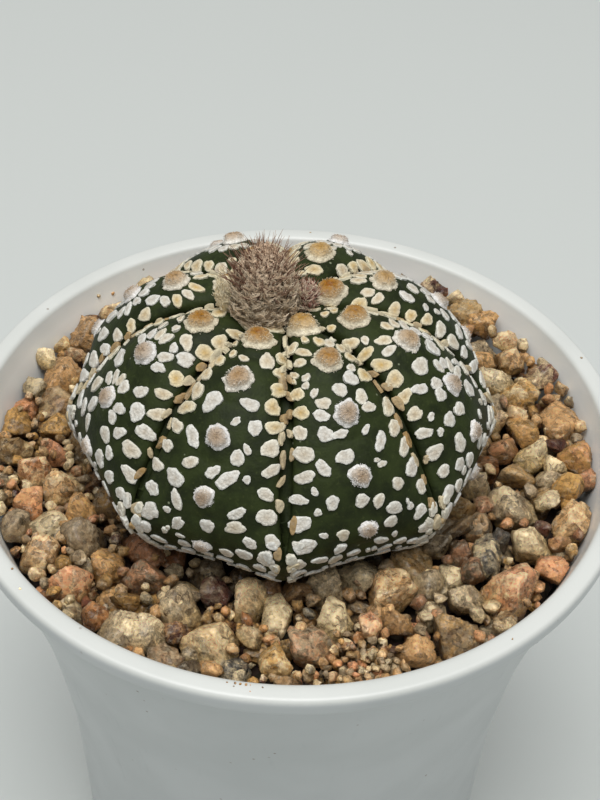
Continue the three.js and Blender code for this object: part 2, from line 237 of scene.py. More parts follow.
def rotated(one, two, angle):
    """Two coordinates turned by an angle: one cos - two sin, and one sin + two cos."""
    cos, sin = np.cos(angle), np.sin(angle)
    return one * cos - two * sin, one * sin + two * cos


def turned(points, angle, axis):
    """Points (n, v, 3) turned by each form's angle round the axis 0, 1 or 2."""
    one, two = [(1, 2), (2, 0), (0, 1)][axis]
    made = points.copy()
    made[..., one], made[..., two] = rotated(points[..., one], points[..., two], angle[:, None])
    return made


def ripple(angle, rng, count, waves, strength):
    """For each of count forms, a sum of strength / wave * cos(wave * angle + a random phase)."""
    total = np.zeros((count, len(angle)))
    for wave in waves:
        phase = rng.uniform(0, TURN, (count, 1))
        size = rng.uniform(0.3, 1, (count, 1)) * strength / wave
        total += size * np.cos(wave * angle + phase)
    return total


# Mesh tools


def grid_faces(rows, columns):
    """Quads over rows of points that each close on themselves."""
    row = np.arange(rows - 1)[:, None] * columns
    here = np.arange(columns)[None, :]
    after = (here + 1) % columns
    corners = [row + here, row + after, row + columns + after, row + columns + here]
    return np.stack(corners, -1).reshape(-1, 4)


def closed_faces(rings, around):
    """Faces of a closed form: one end point, its rings in order, and the other end point."""
    here = np.arange(around)
    after = (here + 1) % around
    last = 1 + (rings - 1) * around
    start = np.stack([np.zeros(around, int), after + 1, here + 1], -1)
    end = np.stack([np.full(around, last + around), last + here, last + after], -1)
    return [grid_faces(rings, around) + 1, start, end]


def capped(start, rings, end):
    """Points and faces of a closed form from its first point, its rings (n, k, 3) and its
    last point."""
    points = np.concatenate([[start], rings.reshape(-1, 3), [end]])
    return points, closed_faces(*rings.shape[:2])


def copies(points, faces):
    """One point list and face list for n forms of v points each, given as (n, v, 3)."""
    count, size = points.shape[:2]
    shift = (np.arange(count) * size)[:, None, None]
    shifted = [(face[None] + shift).reshape(-1, face.shape[1]) for face in faces]
    return points.reshape(-1, 3), shifted


def joined(*forms):
    """Several tinted forms as one."""
    shifts = np.cumsum([0] + [len(form.points) for form in forms[:-1]])
    faces = [face + shift for form, shift in zip(forms, shifts) for face in form.faces]
    points = np.concatenate([form.points for form in forms])
    return Form(points, faces, {"tint": np.concatenate([form.tints["tint"] for form in forms])})


def side_pair(directions):
    """Two unit vectors square to each direction and to each other."""
    guide = np.where(np.abs(directions[..., 2:]) < 0.9, UP, np.array([1.0, 0, 0]))
    first = unit(np.cross(directions, guide))
    return first, np.cross(directions, first)


def tubes(paths, thick, loss, tints, root=1.0, tip=1.0):
    """Three-sided tubes along paths (n, k, 3). Corner j stands at 120 j degrees round the
    path's direction, at the radius thick * (1 - loss * t^2) for t from 0 to 1. Both ends are
    closed, and each tint is multiplied by root at the start, going over to tip at the end."""
    count, steps = paths.shape[:2]
    one, two = side_pair(unit(np.gradient(paths, axis=1)))
    corner, part = bearings(3)[:, None], np.linspace(0, 1, steps)
    ring = one[:, :, None] * np.cos(corner) + two[:, :, None] * np.sin(corner)
    width = thick * (1 - loss * part**2)
    points = paths[:, :, None] + ring * width[:, None, None]
    last = (steps - 1) * 3
    caps = np.array([[2, 1, 0], [last, last + 1, last + 2]])
    points, faces = copies(points.reshape(count, -1, 3), [grid_faces(steps, 3), caps])
    part = np.repeat(part, 3)[None, :, None]
    tints = blended((tints * root)[:, None], (tints * tip)[:, None], part)
    return Form(points, faces, {"tint": tints.reshape(-1, 3)})


def bent(root, way, bend, size, curl, steps):
    """Paths from each root: size * t along its way, and curl * size * t^2 to its bend's side."""
    part = np.linspace(0, 1, steps)[:, None]
    straight = root[:, None] + way[:, None] * size * part
    return straight + bend[:, None] * size * curl * part**2


def signed_volume(points, faces):
    """Sum of corner a . (b x c) over each face's fan of triangles: above 0 faces outwards."""
    total = 0.0
    for face in faces:
        for second in range(1, face.shape[1] - 1):
            a, b, c = points[face[:, 0]], points[face[:, second]], points[face[:, second + 1]]
            total += np.einsum("ij,ij->i", a, np.cross(b, c)).sum()
    return total


def add_object(name, data):
    """A new object of the scene."""
    made = bpy.data.objects.new(name, data)
    bpy.context.scene.collection.objects.link(made)
    return made


def add_piece(name, form, finish, node, merge=False):
    """A closed mesh at the origin that rides on the root and stands for one solid."""
    points, faces, tints, flat = form
    if signed_volume(points - points.mean(0), faces) < 0:
        faces = [face[:, ::-1] for face in faces]
    mesh = bpy.data.meshes.new(name)
    mesh.vertices.add(len(points))
    mesh.vertices.foreach_set("co", points.astype(np.float32).ravel())
    sizes = np.concatenate([np.full(len(face), face.shape[1]) for face in faces])
    corners = np.concatenate([face.ravel() for face in faces]).astype(np.int32)
    mesh.loops.add(len(corners))
    mesh.loops.foreach_set("vertex_index", corners)
    mesh.polygons.add(len(sizes))
    starts = (np.cumsum(sizes) - sizes).astype(np.int32)
    mesh.polygons.foreach_set("loop_start", starts)
    smooth = np.ones(len(sizes), bool)
    if flat is not None:
        smooth[: len(flat)] = ~flat
    mesh.polygons.foreach_set("use_smooth", smooth)
    mesh.update(calc_edges=True)
    for layer_name, colours in tints.items():
        layer = mesh.attributes.new(layer_name, "FLOAT_COLOR", "POINT")
        solid = np.ones((len(points), 4), np.float32)
        solid[:, :3] = colours
        layer.data.foreach_set("color", solid.ravel())
    if merge:
        work = bmesh.new()
        work.from_mesh(mesh)
        bmesh.ops.remove_doubles(work, verts=work.verts, dist=0.002 * MM)
        bmesh.ops.recalc_face_normals(work, faces=work.faces)
        work.to_mesh(mesh)
        work.free()
    mesh.materials.append(finish)
    piece = add_object(name, mesh)
    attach(piece, "root")
    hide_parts(node)


# The body's surface


def body_profile(across, station):
    """Radius and height in the body's own frame. With m = 4 a (1 - a), 0 in a groove and 1 on
    the crest, it is the groove's meridian plus m ** fullness of the way to the crest's, and
    1 - m of the corner's reach further out."""
    middle = 4 * across * (1 - across)
    groove = along(GROOVE, station)
    swell = middle ** bpy.context.scene.cactus_body.fullness
    profile = groove + (along(CREST, station) - groove) * swell[..., None]
    corner = along(CORNER, station)[..., 0] * (1 - middle)
    return profile[..., 0] + corner, profile[..., 1]


def body_point(rib, across, station):
    """Point of the ribbed body. Across, 0 to 1, goes from one groove to the next, and
    station, 0 to 1, from the crown to the root's tip; the profile is turned to its azimuth,
    counted from -Y, and leant."""
    across = np.clip(across, 0.0, 1.0)
    radius, z = body_profile(across, station)
    start, end = GROOVE_AZIMUTHS[rib], GROOVE_AZIMUTHS[np.asarray(rib) + 1]
    azimuth = start + across * (end - start)
    y, z = rotated(-radius * np.cos(azimuth), z, BODY_LEAN)
    return np.stack([radius * np.sin(azimuth), y, z], -1) + BODY_CENTRE


def body_slopes(rib, across, station):
    """Change of the body's point per unit of across and per unit of station."""
    step = 0.004
    a, s = np.clip(across, step, 1 - step), np.clip(station, step, 1 - step)
    d_across = body_point(rib, a + step, s) - body_point(rib, a - step, s)
    d_station = body_point(rib, a, s + step) - body_point(rib, a, s - step)
    return d_across / (2 * step), d_station / (2 * step)


def body_normal(rib, across, station):
    """Outward unit vector: the slope along station crossed with the slope along across."""
    d_across, d_station = body_slopes(rib, across, station)
    return unit(np.cross(d_station, d_across))


def as_spots(rows):
    """Rows of rib, across and station as spots."""
    rib, across, station = np.array(rows, float).T
    return Spots(rib.astype(int), across, station)


def laid_pads(spots, x, y, height):
    """Points (n, v, 3) laid on the body: x across and y towards the crown are turned into
    steps of across and station by the slopes' lengths, and height goes along the normal."""
    d_across, d_station = body_slopes(*spots)
    a = spots.across[:, None] + x / np.linalg.norm(d_across, axis=-1)[:, None]
    s = spots.station[:, None] - y / np.linalg.norm(d_station, axis=-1)[:, None]
    base = body_point(spots.rib[:, None], np.clip(a, 0.003, 0.997), s)
    return base + body_normal(*spots)[:, None] * height[..., None]


def beside(rib, across, station, far, bearing):
    """Across and station of the place that lies far along a bearing, 0 towards the crown."""
    d_across, d_station = body_slopes(rib, across, station)
    side = far * np.sin(bearing) / np.linalg.norm(d_across)
    rise = far * np.cos(bearing) / np.linalg.norm(d_station)
    return across + side, station - rise


def areole_places():
    """Rib, across and station of every areole, a little off the middle of its rib."""
    rng = np.random.default_rng(PLACE_SEED)
    knots = np.arange(len(KNOT_ANGLES)) / (len(CREST) - 1)
    return [
        (rib, 0.5 + rng.uniform(-0.03, 0.03), float(np.interp(angle, KNOT_ANGLES, knots)))
        for rib, angles in enumerate(AREOLE_ANGLES)
        for angle in angles
    ]


def areole_sizes(stations):
    """Radius and height of each areole, from the crown's to the foot's down the body."""
    settings = bpy.context.scene.cactus_areoles
    part = np.clip((stations - 0.08) / 0.36, 0, 1) ** 0.8
    radius = settings.crown_radius + (settings.foot_radius - settings.crown_radius) * part
    return radius, settings.height * (radius / settings.crown_radius) ** 1.1


# Finishes


class Value:
    """One node output. Arithmetic on it adds Math nodes, with a number on either side."""

    def __init__(self, finish, socket):
        self.finish = finish
        self.socket = socket

    def math(self, operation, *terms):
        """A Math node on two terms, which are values or numbers."""
        sockets = dict(enumerate(terms))
        return self.finish.node("ShaderNodeMath", {"operation": operation}, sockets)

    def __add__(self, other):
        return self.math("ADD", self, other)

    def __radd__(self, other):
        return self.math("ADD", other, self)

    def __mul__(self, other):
        return self.math("MULTIPLY", self, other)

    def __rmul__(self, other):
        return self.math("MULTIPLY", other, self)

    def ramp(self, low, high):
        """0 under low, 1 over high, and a smooth step between; low may be the higher one."""
        sockets = {"Value": self, "From Min": low, "From Max": high}
        return self.finish.node(
            "ShaderNodeMapRange", {"interpolation_type": "SMOOTHSTEP"}, sockets
        )


class Finish:
    """A material's nodes round its Principled shader; patterns are sized in millimetres."""

    def __init__(self, name):
        self.material = bpy.data.materials.new(name)
        self.material.use_nodes = True
        self.tree = self.material.node_tree
        self.shader = self.tree.nodes["Principled BSDF"]
        place = self.node("ShaderNodeTexCoord", out="Object")
        self.place = self.scaled(place, (1 / MM,) * 3)

    def node(self, kind, settings=None, sockets=None, out=None):
        """Adds a node: its settings first, then its sockets' values or links."""
        made = self.tree.nodes.new(kind)
        for name, value in (settings or {}).items():
            setattr(made, name, value)
        for key, value in (sockets or {}).items():
            if isinstance(value, Value):
                self.tree.links.new(value.socket, made.inputs[key])
            else:
                made.inputs[key].default_value = value
        if out is None:
            out = next(i for i, o in enumerate(made.outputs) if o.enabled)
        return Value(self, made.outputs[out])

    def tint(self, name="tint"):
        """A colour attribute of the mesh."""
        return self.node("ShaderNodeAttribute", {"attribute_name": name}, out="Color")

    def vector(self, operation, *terms):
        """A Vector Math node on two terms."""
        return self.node("ShaderNodeVectorMath", {"operation": operation}, dict(enumerate(terms)))

    def scaled(self, place, scale):
        """A place multiplied by three numbers."""
        return self.node("ShaderNodeMapping", sockets={"Vector": place, "Scale": scale})

    def noise(self, size, detail=3.0, roughness=0.55, stretch=None):
        """Soft noise, 0 to 1, in clouds of a size."""
        sockets = {
            "Vector": self.scaled(self.place, stretch) if stretch else self.place,
            "Scale": 1 / size,
            "Detail": detail,
            "Roughness": roughness,
        }
        return self.node("ShaderNodeTexNoise", {}, sockets)

    def cells(self, size, out="Distance", place=None):
        """Cells of a size: how far the nearest cell's point is, or the cell's own colour."""
        sockets = {"Vector": place or self.place, "Scale": 1 / size}
        return self.node("ShaderNodeTexVoronoi", {}, sockets, out)

    def wandering(self, size, reach):
        """The place moved about by up to half of reach, in patches of a size."""
        sockets = {"Vector": self.place, "Scale": 1 / size, "Detail": 3.0}
        drift = self.node("ShaderNodeTexNoise", {}, sockets, "Color")
        half = self.vector("SUBTRACT", drift, (0.5, 0.5, 0.5))
        return self.vector("ADD", self.place, self.vector("MULTIPLY", half, (reach,) * 3))

    def facets(self, patch, tilt, below=None):
        """The normal leant one way all over each patch, by the patch's own colour."""
        lean = self.vector("SUBTRACT", patch, (0.5, 0.5, 0.5))
        lean = self.vector("MULTIPLY", lean, (2 * tilt,) * 3)
        below = below or self.node("ShaderNodeNewGeometry", out="Normal")
        return self.vector("NORMALIZE", self.vector("ADD", below, lean))

    def value(self, colour):
        """The red part of a random colour, as a number."""
        return self.node("ShaderNodeSeparateColor", {}, {"Color": colour}, "Red")

    def mix(self, factor, first, second, blend="MIX"):
        """Colour mix; first and second are colours of three numbers or links."""
        ends = [c if isinstance(c, Value) else (*c, 1.0) for c in (first, second)]
        settings = {"data_type": "RGBA", "blend_type": blend}
        return self.node("ShaderNodeMix", settings, {0: factor, 6: ends[0], 7: ends[1]}, 2)

    def bump(self, height, depth, below=None):
        """Bump of a 0 to 1 height, depth deep in metres, over another bump."""
        sockets = {"Height": height, "Distance": depth, "Strength": 1.0}
        if below:
            sockets["Normal"] = below
        return self.node("ShaderNodeBump", {}, sockets)

    def wear(self, colour, roughness, normal, **constants):
        """Joins what varies to the shader and sets the rest on its sockets."""
        links = {"Base Color": colour, "Roughness": roughness, "Normal": normal}
        for key, value in links.items():
            self.tree.links.new(value.socket, self.shader.inputs[key])
        for key, value in constants.items():
            self.shader.inputs[key.replace("_", " ")].default_value = value
        return self.material


def plastic_finish(settings):
    """White moulded plastic: faint clouding, a soft grain and a few specks of dust."""
    f = Finish("white_moulded_plastic")
    cloud = f.noise(14.0, 2.0)
    dust_and_painted_light = f.cells(2.6).ramp(0.085, 0.05) * f.noise(9.0, 2.0).ramp(0.52, 0.62)
    scuff = f.noise(1.6, 4.0, 0.6, stretch=(1, 1, 0.12)).ramp(0.6, 0.78)
    colour = f.mix(cloud.ramp(0.35, 0.7) * 0.3, f.tint(), settings.shade_colour, "MULTIPLY")
    colour = f.mix(dust_and_painted_light * 0.75, colour, shade(120, 100, 80))
    rough = 0.30 + cloud * 0.10 + scuff * 0.15 + dust_and_painted_light * 0.3
    normal = f.bump(f.noise(5.0, 1.0), 0.05 * MM)
    normal = f.bump(f.noise(0.35, 2.0), 0.008 * MM, normal)
    return f.wear(colour, rough, normal, IOR=1.49)


def stone_finish():
    """Crushed granite and quartz: a pale crust in ragged patches over the stone's own tint,
    crystal facets that catch the light one by one, stained hollows, painted shade in the pits
    and a pale painted highlight on the crests."""
    f = Finish("crushed_granite")
    drifting = f.wandering(2.0, 2.0)
    chunk = f.cells(1.9, "Color", drifting)
    crystal = f.cells(0.62, "Color", drifting)
    crust = (f.noise(1.1, 9.0, 0.82) + f.value(chunk) * 0.16).ramp(0.49, 0.76)
    grain = f.noise(0.26, 5.0, 0.8)
    relief = f.noise(0.95, 8.0, 0.72)
    stain = relief.ramp(0.50, 0.37) * f.noise(2.4, 2.0).ramp(0.35, 0.55)
    pit_painted_shade = relief.ramp(0.40, 0.30)
    crest = relief.ramp(0.53, 0.64)
    colour = f.mix(crust, f.tint(), f.tint("vein"))
    light = 0.36 + f.value(chunk) * 0.42 + f.value(crystal).ramp(0.1, 0.9) * 0.72
    light = light + grain.ramp(0.34, 0.66) * 0.58
    colour = f.node("ShaderNodeVectorMath", {"operation": "SCALE"}, {0: colour, 3: light})
    colour = f.mix(stain * 0.3, colour, shade(140, 88, 44))
    # Painted shade: dark brown in the bump's deepest hollows.
    colour = f.mix(pit_painted_shade * 0.7, colour, shade(60, 40, 22))
    # Painted highlight: pale cream on the bump's crests.
    colour = f.mix(crest * 0.34, colour, shade(254, 238, 208))
    rough = 0.22 + crust * 0.34 + f.value(crystal) * 0.18
    normal = f.facets(chunk, 0.50)
    normal = f.facets(crystal, 0.50, normal)
    normal = f.bump(relief, 1.15 * MM, normal)
    return f.wear(colour, rough, normal, IOR=1.5, Coat_Weight=0.3, Coat_Roughness=0.16)


def grit_finish():
    """Damp fines under the stones: dark brown grains."""
    f = Finish("grit_fines")
    colour = f.mix(0.3, shade(52, 38, 25), f.cells(0.9, "Color"), "SOFT_LIGHT")
    colour = f.mix(f.noise(3.0).ramp(0.45, 0.65), colour, shade(40, 26, 16))
    normal = f.bump(f.cells(0.9), 0.6 * MM)
    return f.wear(colour, 0.8 + f.noise(1.0) * 0.15, normal)


def skin_finish(settings):
    """Waxy green skin: soft mottling, pale pinpoints, fine pores and a dry brown foot."""
    f = Finish("cactus_skin")
    mottle = f.noise(3.2, 4.0, 0.6)
    fine = f.noise(0.5, 3.0, 0.6)
    colour = f.mix(mottle.ramp(0.36, 0.66), settings.skin_dark, settings.skin_light)
    colour = f.mix(fine.ramp(0.55, 0.8) * 0.35, colour, settings.skin_speck)
    dots = f.cells(1.9).ramp(0.10, 0.05) * f.noise(4.0, 1.0).ramp(0.50, 0.58)
    colour = f.mix(dots * 0.7, colour, shade(150, 156, 128))
    height = f.node("ShaderNodeSeparateXYZ", {}, {"Vector": f.place}, "Z")
    foot = (height + mottle * 3.0).ramp(75.6, 72.8)
    colour = f.mix(foot * 0.6, colour, shade(104, 92, 62))
    rough = 0.50 + mottle * 0.18 + dots * 0.2
    normal = f.bump(f.noise(1.3, 3.0), 0.10 * MM)
    normal = f.bump(f.cells(0.32), 0.025 * MM, normal)
    return f.wear(colour, rough, normal, IOR=1.42, Specular_IOR_Level=0.2)


def chalk_finish(name, grain):
    """Matted felt in each pad's own tint: crumpled chalky grain, with painted shade in its
    hollows.
    """
    f = Finish(name)
    cloud = f.noise(0.7, 4.0, 0.66)
    clump = f.cells(grain * 1.6)
    colour = f.mix(cloud.ramp(0.46, 0.66) * 0.36, f.tint(), shade(186, 172, 150))
    # Painted shade: darker in the hollows of the cell bump.
    colour = f.mix(clump.ramp(0.35, 0.75) * 0.20, colour, shade(120, 104, 84))
    rough = 0.86 + cloud * 0.1
    normal = f.bump(f.noise(0.55, 5.0, 0.7), 0.20 * MM)
    normal = f.bump(clump, -0.07 * MM, normal)
    return f.wear(colour, rough, normal, Specular_IOR_Level=0.2)


def wool_finish(name):
    """Fine hair: its own tint from root to tip, a little browner in patches."""
    f = Finish(name)
    patch = f.noise(0.9, 2.0)
    colour = f.mix(patch.ramp(0.45, 0.75) * 0.2, f.tint(), shade(128, 104, 82))
    rough = 0.55 + patch * 0.25
    normal = f.bump(f.noise(0.12, 2.0), 0.01 * MM)
    return f.wear(colour, rough, normal, Specular_IOR_Level=0.3)


def floor_finish(settings):
    """A plain pale floor, matt with the faintest clouding."""
    f = Finish("pale_floor")
    cloud = f.noise(60.0, 2.0)
    colour = f.mix(cloud * 0.06, settings.floor_colour, shade(170, 170, 166))
    return f.wear(colour, 0.55 + cloud * 0.1, f.bump(f.noise(2.0, 2.0), 0.02 * MM))


# Settings


def length(name, description, default):
    """A length property, whose default is given in millimetres."""
    return FloatProperty(
        name=name, description=description, default=default * MM, precision=5, unit="LENGTH"
    )


def paint(name, description, *swatch):
    """A colour property, whose default is given as a paint swatch."""
    return FloatVectorProperty(
        name=name, description=description, default=shade(*swatch), size=3,
        min=0.0, max=1.0, subtype="COLOR",
    )


def count(name, description, default):
    """A whole-number property."""
    return IntProperty(name=name, description=description, default=default, min=0)


def number(name, description, default, **limits):
    """A plain number property."""
    return FloatProperty(name=name, description=description, default=default, **limits)


class PotSettings(bpy.types.PropertyGroup):
    """Sizes and colours of the pot."""

    wall: length("Wall", "Thickness of the pot's wall", WALL)
    drain_radius: length("Drain hole", "Radius of each drain hole", 3.5)
    drain_ring: length("Drain ring", "Radius of the ring of drain holes", 17.0)
    sector_steps: count("Steps", "Steps round the pot for each drain hole", 32)
    colour: paint("Colour", "Colour of the lip", 214, 216, 211)
    # Same white plastic as the lip: painted light on the inside, painted shade on the outer wall.
    lit_inner_colour: paint("Inner colour", "Cleaner colour of the inside", 244, 245, 241)
    shaded_wall_colour: paint("Wall colour", "Duller, bluer colour of the outer wall", 193, 197, 197)
    shade_colour: paint("Clouding", "Tone of the faint clouds in the plastic", 228, 230, 229)


class StoneSettings(bpy.types.PropertyGroup):
    """Sizes and colours of the crushed stone."""

    seed: count("Seed", "Start of the random placing", 11)
    level: length("Level", "Height of the stones' tops over the pot's foot", 75.0)
    slope: number("Slope", "Rise of the level towards +X, for each unit of the way", 0.022)
    back_rise: number("Back rise", "Rise of the level towards +Y, behind the middle", 0.04)
    smallest: length("Smallest", "Smallest radius of a top stone", 1.5)
    largest: length("Largest", "Largest radius of a top stone", 3.4)
    number: count("Number", "Stones tried, a multiple of four", 760)
    fines: count("Fines", "Number of small chips between the stones", 620)
    tan: paint("Tan", "Most of the stones", 208, 162, 108)
    ochre: paint("Ochre", "Yellow-brown stones", 192, 148, 84)
    grey: paint("Grey", "Clouded quartz", 170, 148, 116)
    rose: paint("Rose", "Pink-orange feldspar", 226, 160, 114)
    cream: paint("Cream", "Pale crust and the palest stones", 254, 228, 178)
    rust: paint("Rust", "Brown-orange stones", 170, 112, 64)
    maroon: paint("Maroon", "A few dark red stones", 96, 48, 38)
    black: paint("Black", "A few black stones", 78, 76, 70)
    slate: paint("Slate", "Dark clouded quartz", 128, 110, 84)


class BodySettings(bpy.types.PropertyGroup):
    """Shape and colours of the cactus body."""

    fullness: number(
        "Rib fullness", "How fast a rib rises from its groove; lower is fuller", 0.55,
        min=0.3, max=1.5,
    )
    crease: length("Crease", "Depth of the sharp fold down each groove", 0.75)
    rib_columns: count("Columns", "Columns of faces across one rib", 44)
    rows: count("Rows", "Rows of faces from the crown to the root's tip", 170)
    skin_dark: paint("Dark green", "Main colour of the skin", 31, 38, 17)
    skin_light: paint("Light green", "Second colour of the skin", 46, 55, 25)
    skin_speck: paint("Speck", "Fine paler grain of the skin", 80, 88, 48)


class FleckSettings(bpy.types.PropertyGroup):
    """Sizes and colours of the felt flecks and of the dried scales."""

    seed: count("Seed", "Start of the random placing", 5)
    radius: length("Radius", "Middle radius of a fleck", 1.15)
    thickness: length("Thickness", "How far a fleck stands over the skin", 0.23)
    gap: length("Gap", "Least bare skin between two flecks", 0.31)
    tries: count("Tries", "Places tried for flecks on each rib", 1200)
    white: paint("White", "Flecks on the ribs' faces", 240, 240, 233)
    heart: paint("Heart", "Middle of a white fleck", 204, 197, 184)
    cream: paint("Cream", "Flecks by the crown and the grooves", 242, 234, 202)
    ochre: paint("Ochre", "Middle of a cream fleck", 198, 164, 98)
    scale: paint("Scale", "Dried scales in the grooves", 176, 142, 90)


class AreoleSettings(bpy.types.PropertyGroup):
    """Sizes and colours of the areoles."""

    seed: count("Seed", "Start of the random shapes", 21)
    crown_radius: length("Crown radius", "Radius of an areole by the crown", 2.15)
    foot_radius: length("Foot radius", "Radius of the lowest areole", 1.2)
    height: length("Height", "Height of an areole by the crown", 1.6)
    hairs: count("Hairs", "Short hairs on one areole", 280)
    gold: paint("Gold", "Wool of the areoles by the crown", 206, 174, 120)
    rust: paint("Rust", "Deepest colour of the crown's wool", 172, 130, 74)
    mauve: paint("Mauve", "Wool of the older areoles", 192, 174, 154)
    rim: paint("Rim", "Ragged rim of the areoles by the crown", 244, 234, 206)
    old_rim: paint("Old rim", "Ragged rim of the older areoles", 246, 244, 240)


class BudSettings(bpy.types.PropertyGroup):
    """Sizes and colours of the large bud and the young one."""

    seed: count("Seed", "Start of the random hairs", 3)
    width: length("Width", "Half width of the bud's core", 3.0)
    height: length("Height", "Half height of the bud's core", 4.7)
    locks: count("Locks", "Locks of curled wool on the bud, of five hairs each", 735)
    bristles: count("Bristles", "Straight dark hairs on the bud", 330)
    young_width: length("Young width", "Half width of the young bud's core", 0.8)
    young_height: length("Young height", "Half height of the young bud's core", 1.7)
    young_locks: count("Young locks", "Locks of wool on the young bud, of three hairs each", 170)
    wool: paint("Wool", "Pale curled hair", 246, 230, 202)
    smoke: paint("Smoke", "Darker curled hair", 206, 182, 152)
    cream: paint("Cream", "Wool of the scale beside the bud", 255, 242, 210)
    bristle: paint("Bristle", "Straight hair", 104, 58, 46)
    plum: paint("Plum", "Young bud's hair", 176, 100, 96)


class StageSettings(bpy.types.PropertyGroup):
    """Floor, lights and camera."""

    floor_colour: paint("Floor", "Colour of the floor", 206, 210, 206)
    key: number("Key", "Main light", 14.2, unit="POWER")
    fill: number("Fill", "Front light", 0.6, unit="POWER")
    sky: number("Sky", "Brightness of the surroundings", 0.26)
    focal: number("Focal length", "Lens in millimetres", 65.25)


# Pot


def pot_profile(settings):
    """Radius and height round the pot's wall section, from the floor's underside out over
    the foot, up the outside, over the lip and down the inside to the floor's top; and how
    many of these places come before the lip."""
    outside = along(POT_WALL, np.linspace(0, 1, 40))
    lip = along(LIP_CURVE, np.linspace(0, 1, 56))
    inner = outside[::-1] - [settings.wall, 0]
    inner = inner[(inner[:, 1] < lip[-1, 1] - 0.5 * MM) & (inner[:, 1] > 4.4 * MM)]
    outer = np.concatenate([FOOT_RING, outside[:-1]])
    return np.concatenate([outer, lip, inner, FLOOR_BEND]), len(outer)


def floor_sector(settings):
    """One sixth of the floor with its hole: each ring of points goes part of the way from
    the sector's edge straight towards the hole's edge, on top, then back underneath."""
    arc = np.linspace(-TURN / 12, TURN / 12, settings.sector_steps + 1)
    rim = np.stack([np.cos(arc), np.sin(arc)], -1) * FLOOR_REACH
    spoke = np.linspace(1, 0, 13)[1:-1, None]
    edge = np.concatenate([rim, rim[-1] * spoke, np.zeros((1, 2)), rim[0] * spoke[::-1]])
    centre = np.array([settings.drain_ring, 0.0])
    hole = centre + unit(edge - centre) * settings.drain_radius
    rings = []
    for height, parts in ((FLOOR_TOP, (0, 0.4, 0.75, 1)), (FLOOR_UNDER, (1, 0.75, 0.4, 0))):
        for part in parts:
            flat = edge + (hole - edge) * part
            rings.append(np.column_stack([flat, np.full(len(flat), height)]))
    return np.array(rings)


def build_pot(settings):
    """The lathed wall and six floor sectors, which are merged into one closed shell. Counted
    from the lip's first ring, the outer wall's painted-shade colour goes over to the lip's
    from ring 21 to 25, and the lip's to the inside's painted-light colour from 46 to 54."""
    profile, before_lip = pot_profile(settings)
    columns = 6 * settings.sector_steps
    wall = polar(profile[:, :1], bearings(columns) - TURN / 12, profile[:, 1:])
    points, faces = [wall.reshape(-1, 3)], [grid_faces(len(profile), columns)]
    sector = floor_sector(settings)
    for turn in bearings(6):
        x, y = rotated(sector[..., 0], sector[..., 1], turn)
        faces.append(grid_faces(*sector.shape[:2]) + sum(map(len, points)))
        points.append(np.stack([x, y, sector[..., 2]], -1).reshape(-1, 3))
    points = np.concatenate(points)
    ring = np.arange(len(points))[:, None] // columns - before_lip
    # Painted shade on the outer wall and the lip's outer face, painted light on the inside.
    tints = blended(settings.colour, settings.shaded_wall_colour, np.clip((25 - ring) / 4, 0, 1))
    tints = blended(tints, settings.lit_inner_colour, np.clip((ring - 46) / 8, 0, 1))
    return Form(points, faces, {"tint": tints})


# Stones


def inner_radius(height):
    """Radius of the pot's inside at a height."""
    return np.interp(height, POT_WALL[:, 1], POT_WALL[:, 0]) - WALL * MM


def ground(settings, x, y):
    """Height of the stones' tops: the level and its rise to the right and towards the back."""
    return settings.level + settings.slope * x + settings.back_rise * np.maximum(y, 0)


def outside_body(centre, radius):
    """True where a ball keeps clear of the body, measured in the body's own upright frame
    at the ball's middle, top and bottom, against the body's radius in its direction."""
    x, y, z = (centre - BODY_CENTRE).T
    y, z = rotated(y, z, -BODY_LEAN)
    far = np.hypot(x, y)
    azimuth = (np.arctan2(x, -y) - GROOVE_AZIMUTHS[0]) % TURN + GROOVE_AZIMUTHS[0]
    rib = np.searchsorted(GROOVE_AZIMUTHS[1:-1], azimuth)
    start, end = GROOVE_AZIMUTHS[rib], GROOVE_AZIMUTHS[rib + 1]
    across = (azimuth - start) / (end - start)
    stations = np.linspace(0.45, 0.98, 60)[::-1]
    reaches, heights = body_profile(across[:, None], stations[None])
    clear = np.full(far.shape, True)
    for part in (-0.7, 0, 0.7):
        body = np.array([
            np.interp(level, height, reach)
            for level, height, reach in zip(z + part * radius, heights, reaches)
        ])
        clear &= far > body + radius * np.sqrt(1 - part**2) * 0.80
    return clear


class Heap:
    """Heights over the pot on a grid of squares, onto which balls are dropped one by one."""

    STEP = 0.4 * MM
    HALF = 104

    def __init__(self, base):
        axis = (np.arange(2 * self.HALF + 1) - self.HALF) * self.STEP
        self.x, self.y = np.meshgrid(axis, axis, indexing="ij")
        self.top = np.full(self.x.shape, base)

    def dome(self, x, y, radius):
        """The squares round a ball, its half height over each, which is the root of
        r^2 - d^2, and which squares it covers."""
        reach = int(radius / self.STEP) + 1
        low, high = reach, 2 * self.HALF - reach
        i, j = (min(max(int(round(a / self.STEP)) + self.HALF, low), high) for a in (x, y))
        patch = (slice(i - reach, i + reach + 1), slice(j - reach, j + reach + 1))
        away = (self.x[patch] - x) ** 2 + (self.y[patch] - y) ** 2
        return patch, np.sqrt(np.maximum(radius**2 - away, 0)), away < radius**2

    def rest(self, x, y, radius):
        """Height of the ball's centre when it touches what lies below."""
        patch, dome, inside = self.dome(x, y, radius)
        return np.max(np.where(inside, self.top[patch] + dome, 0))

    def settle(self, x, y, z, radius):
        """Raises the heap by a ball that stays at z."""
        patch, dome, inside = self.dome(x, y, radius)
        raised = np.maximum(self.top[patch], z + dome)
        self.top[patch] = np.where(inside, raised, self.top[patch])


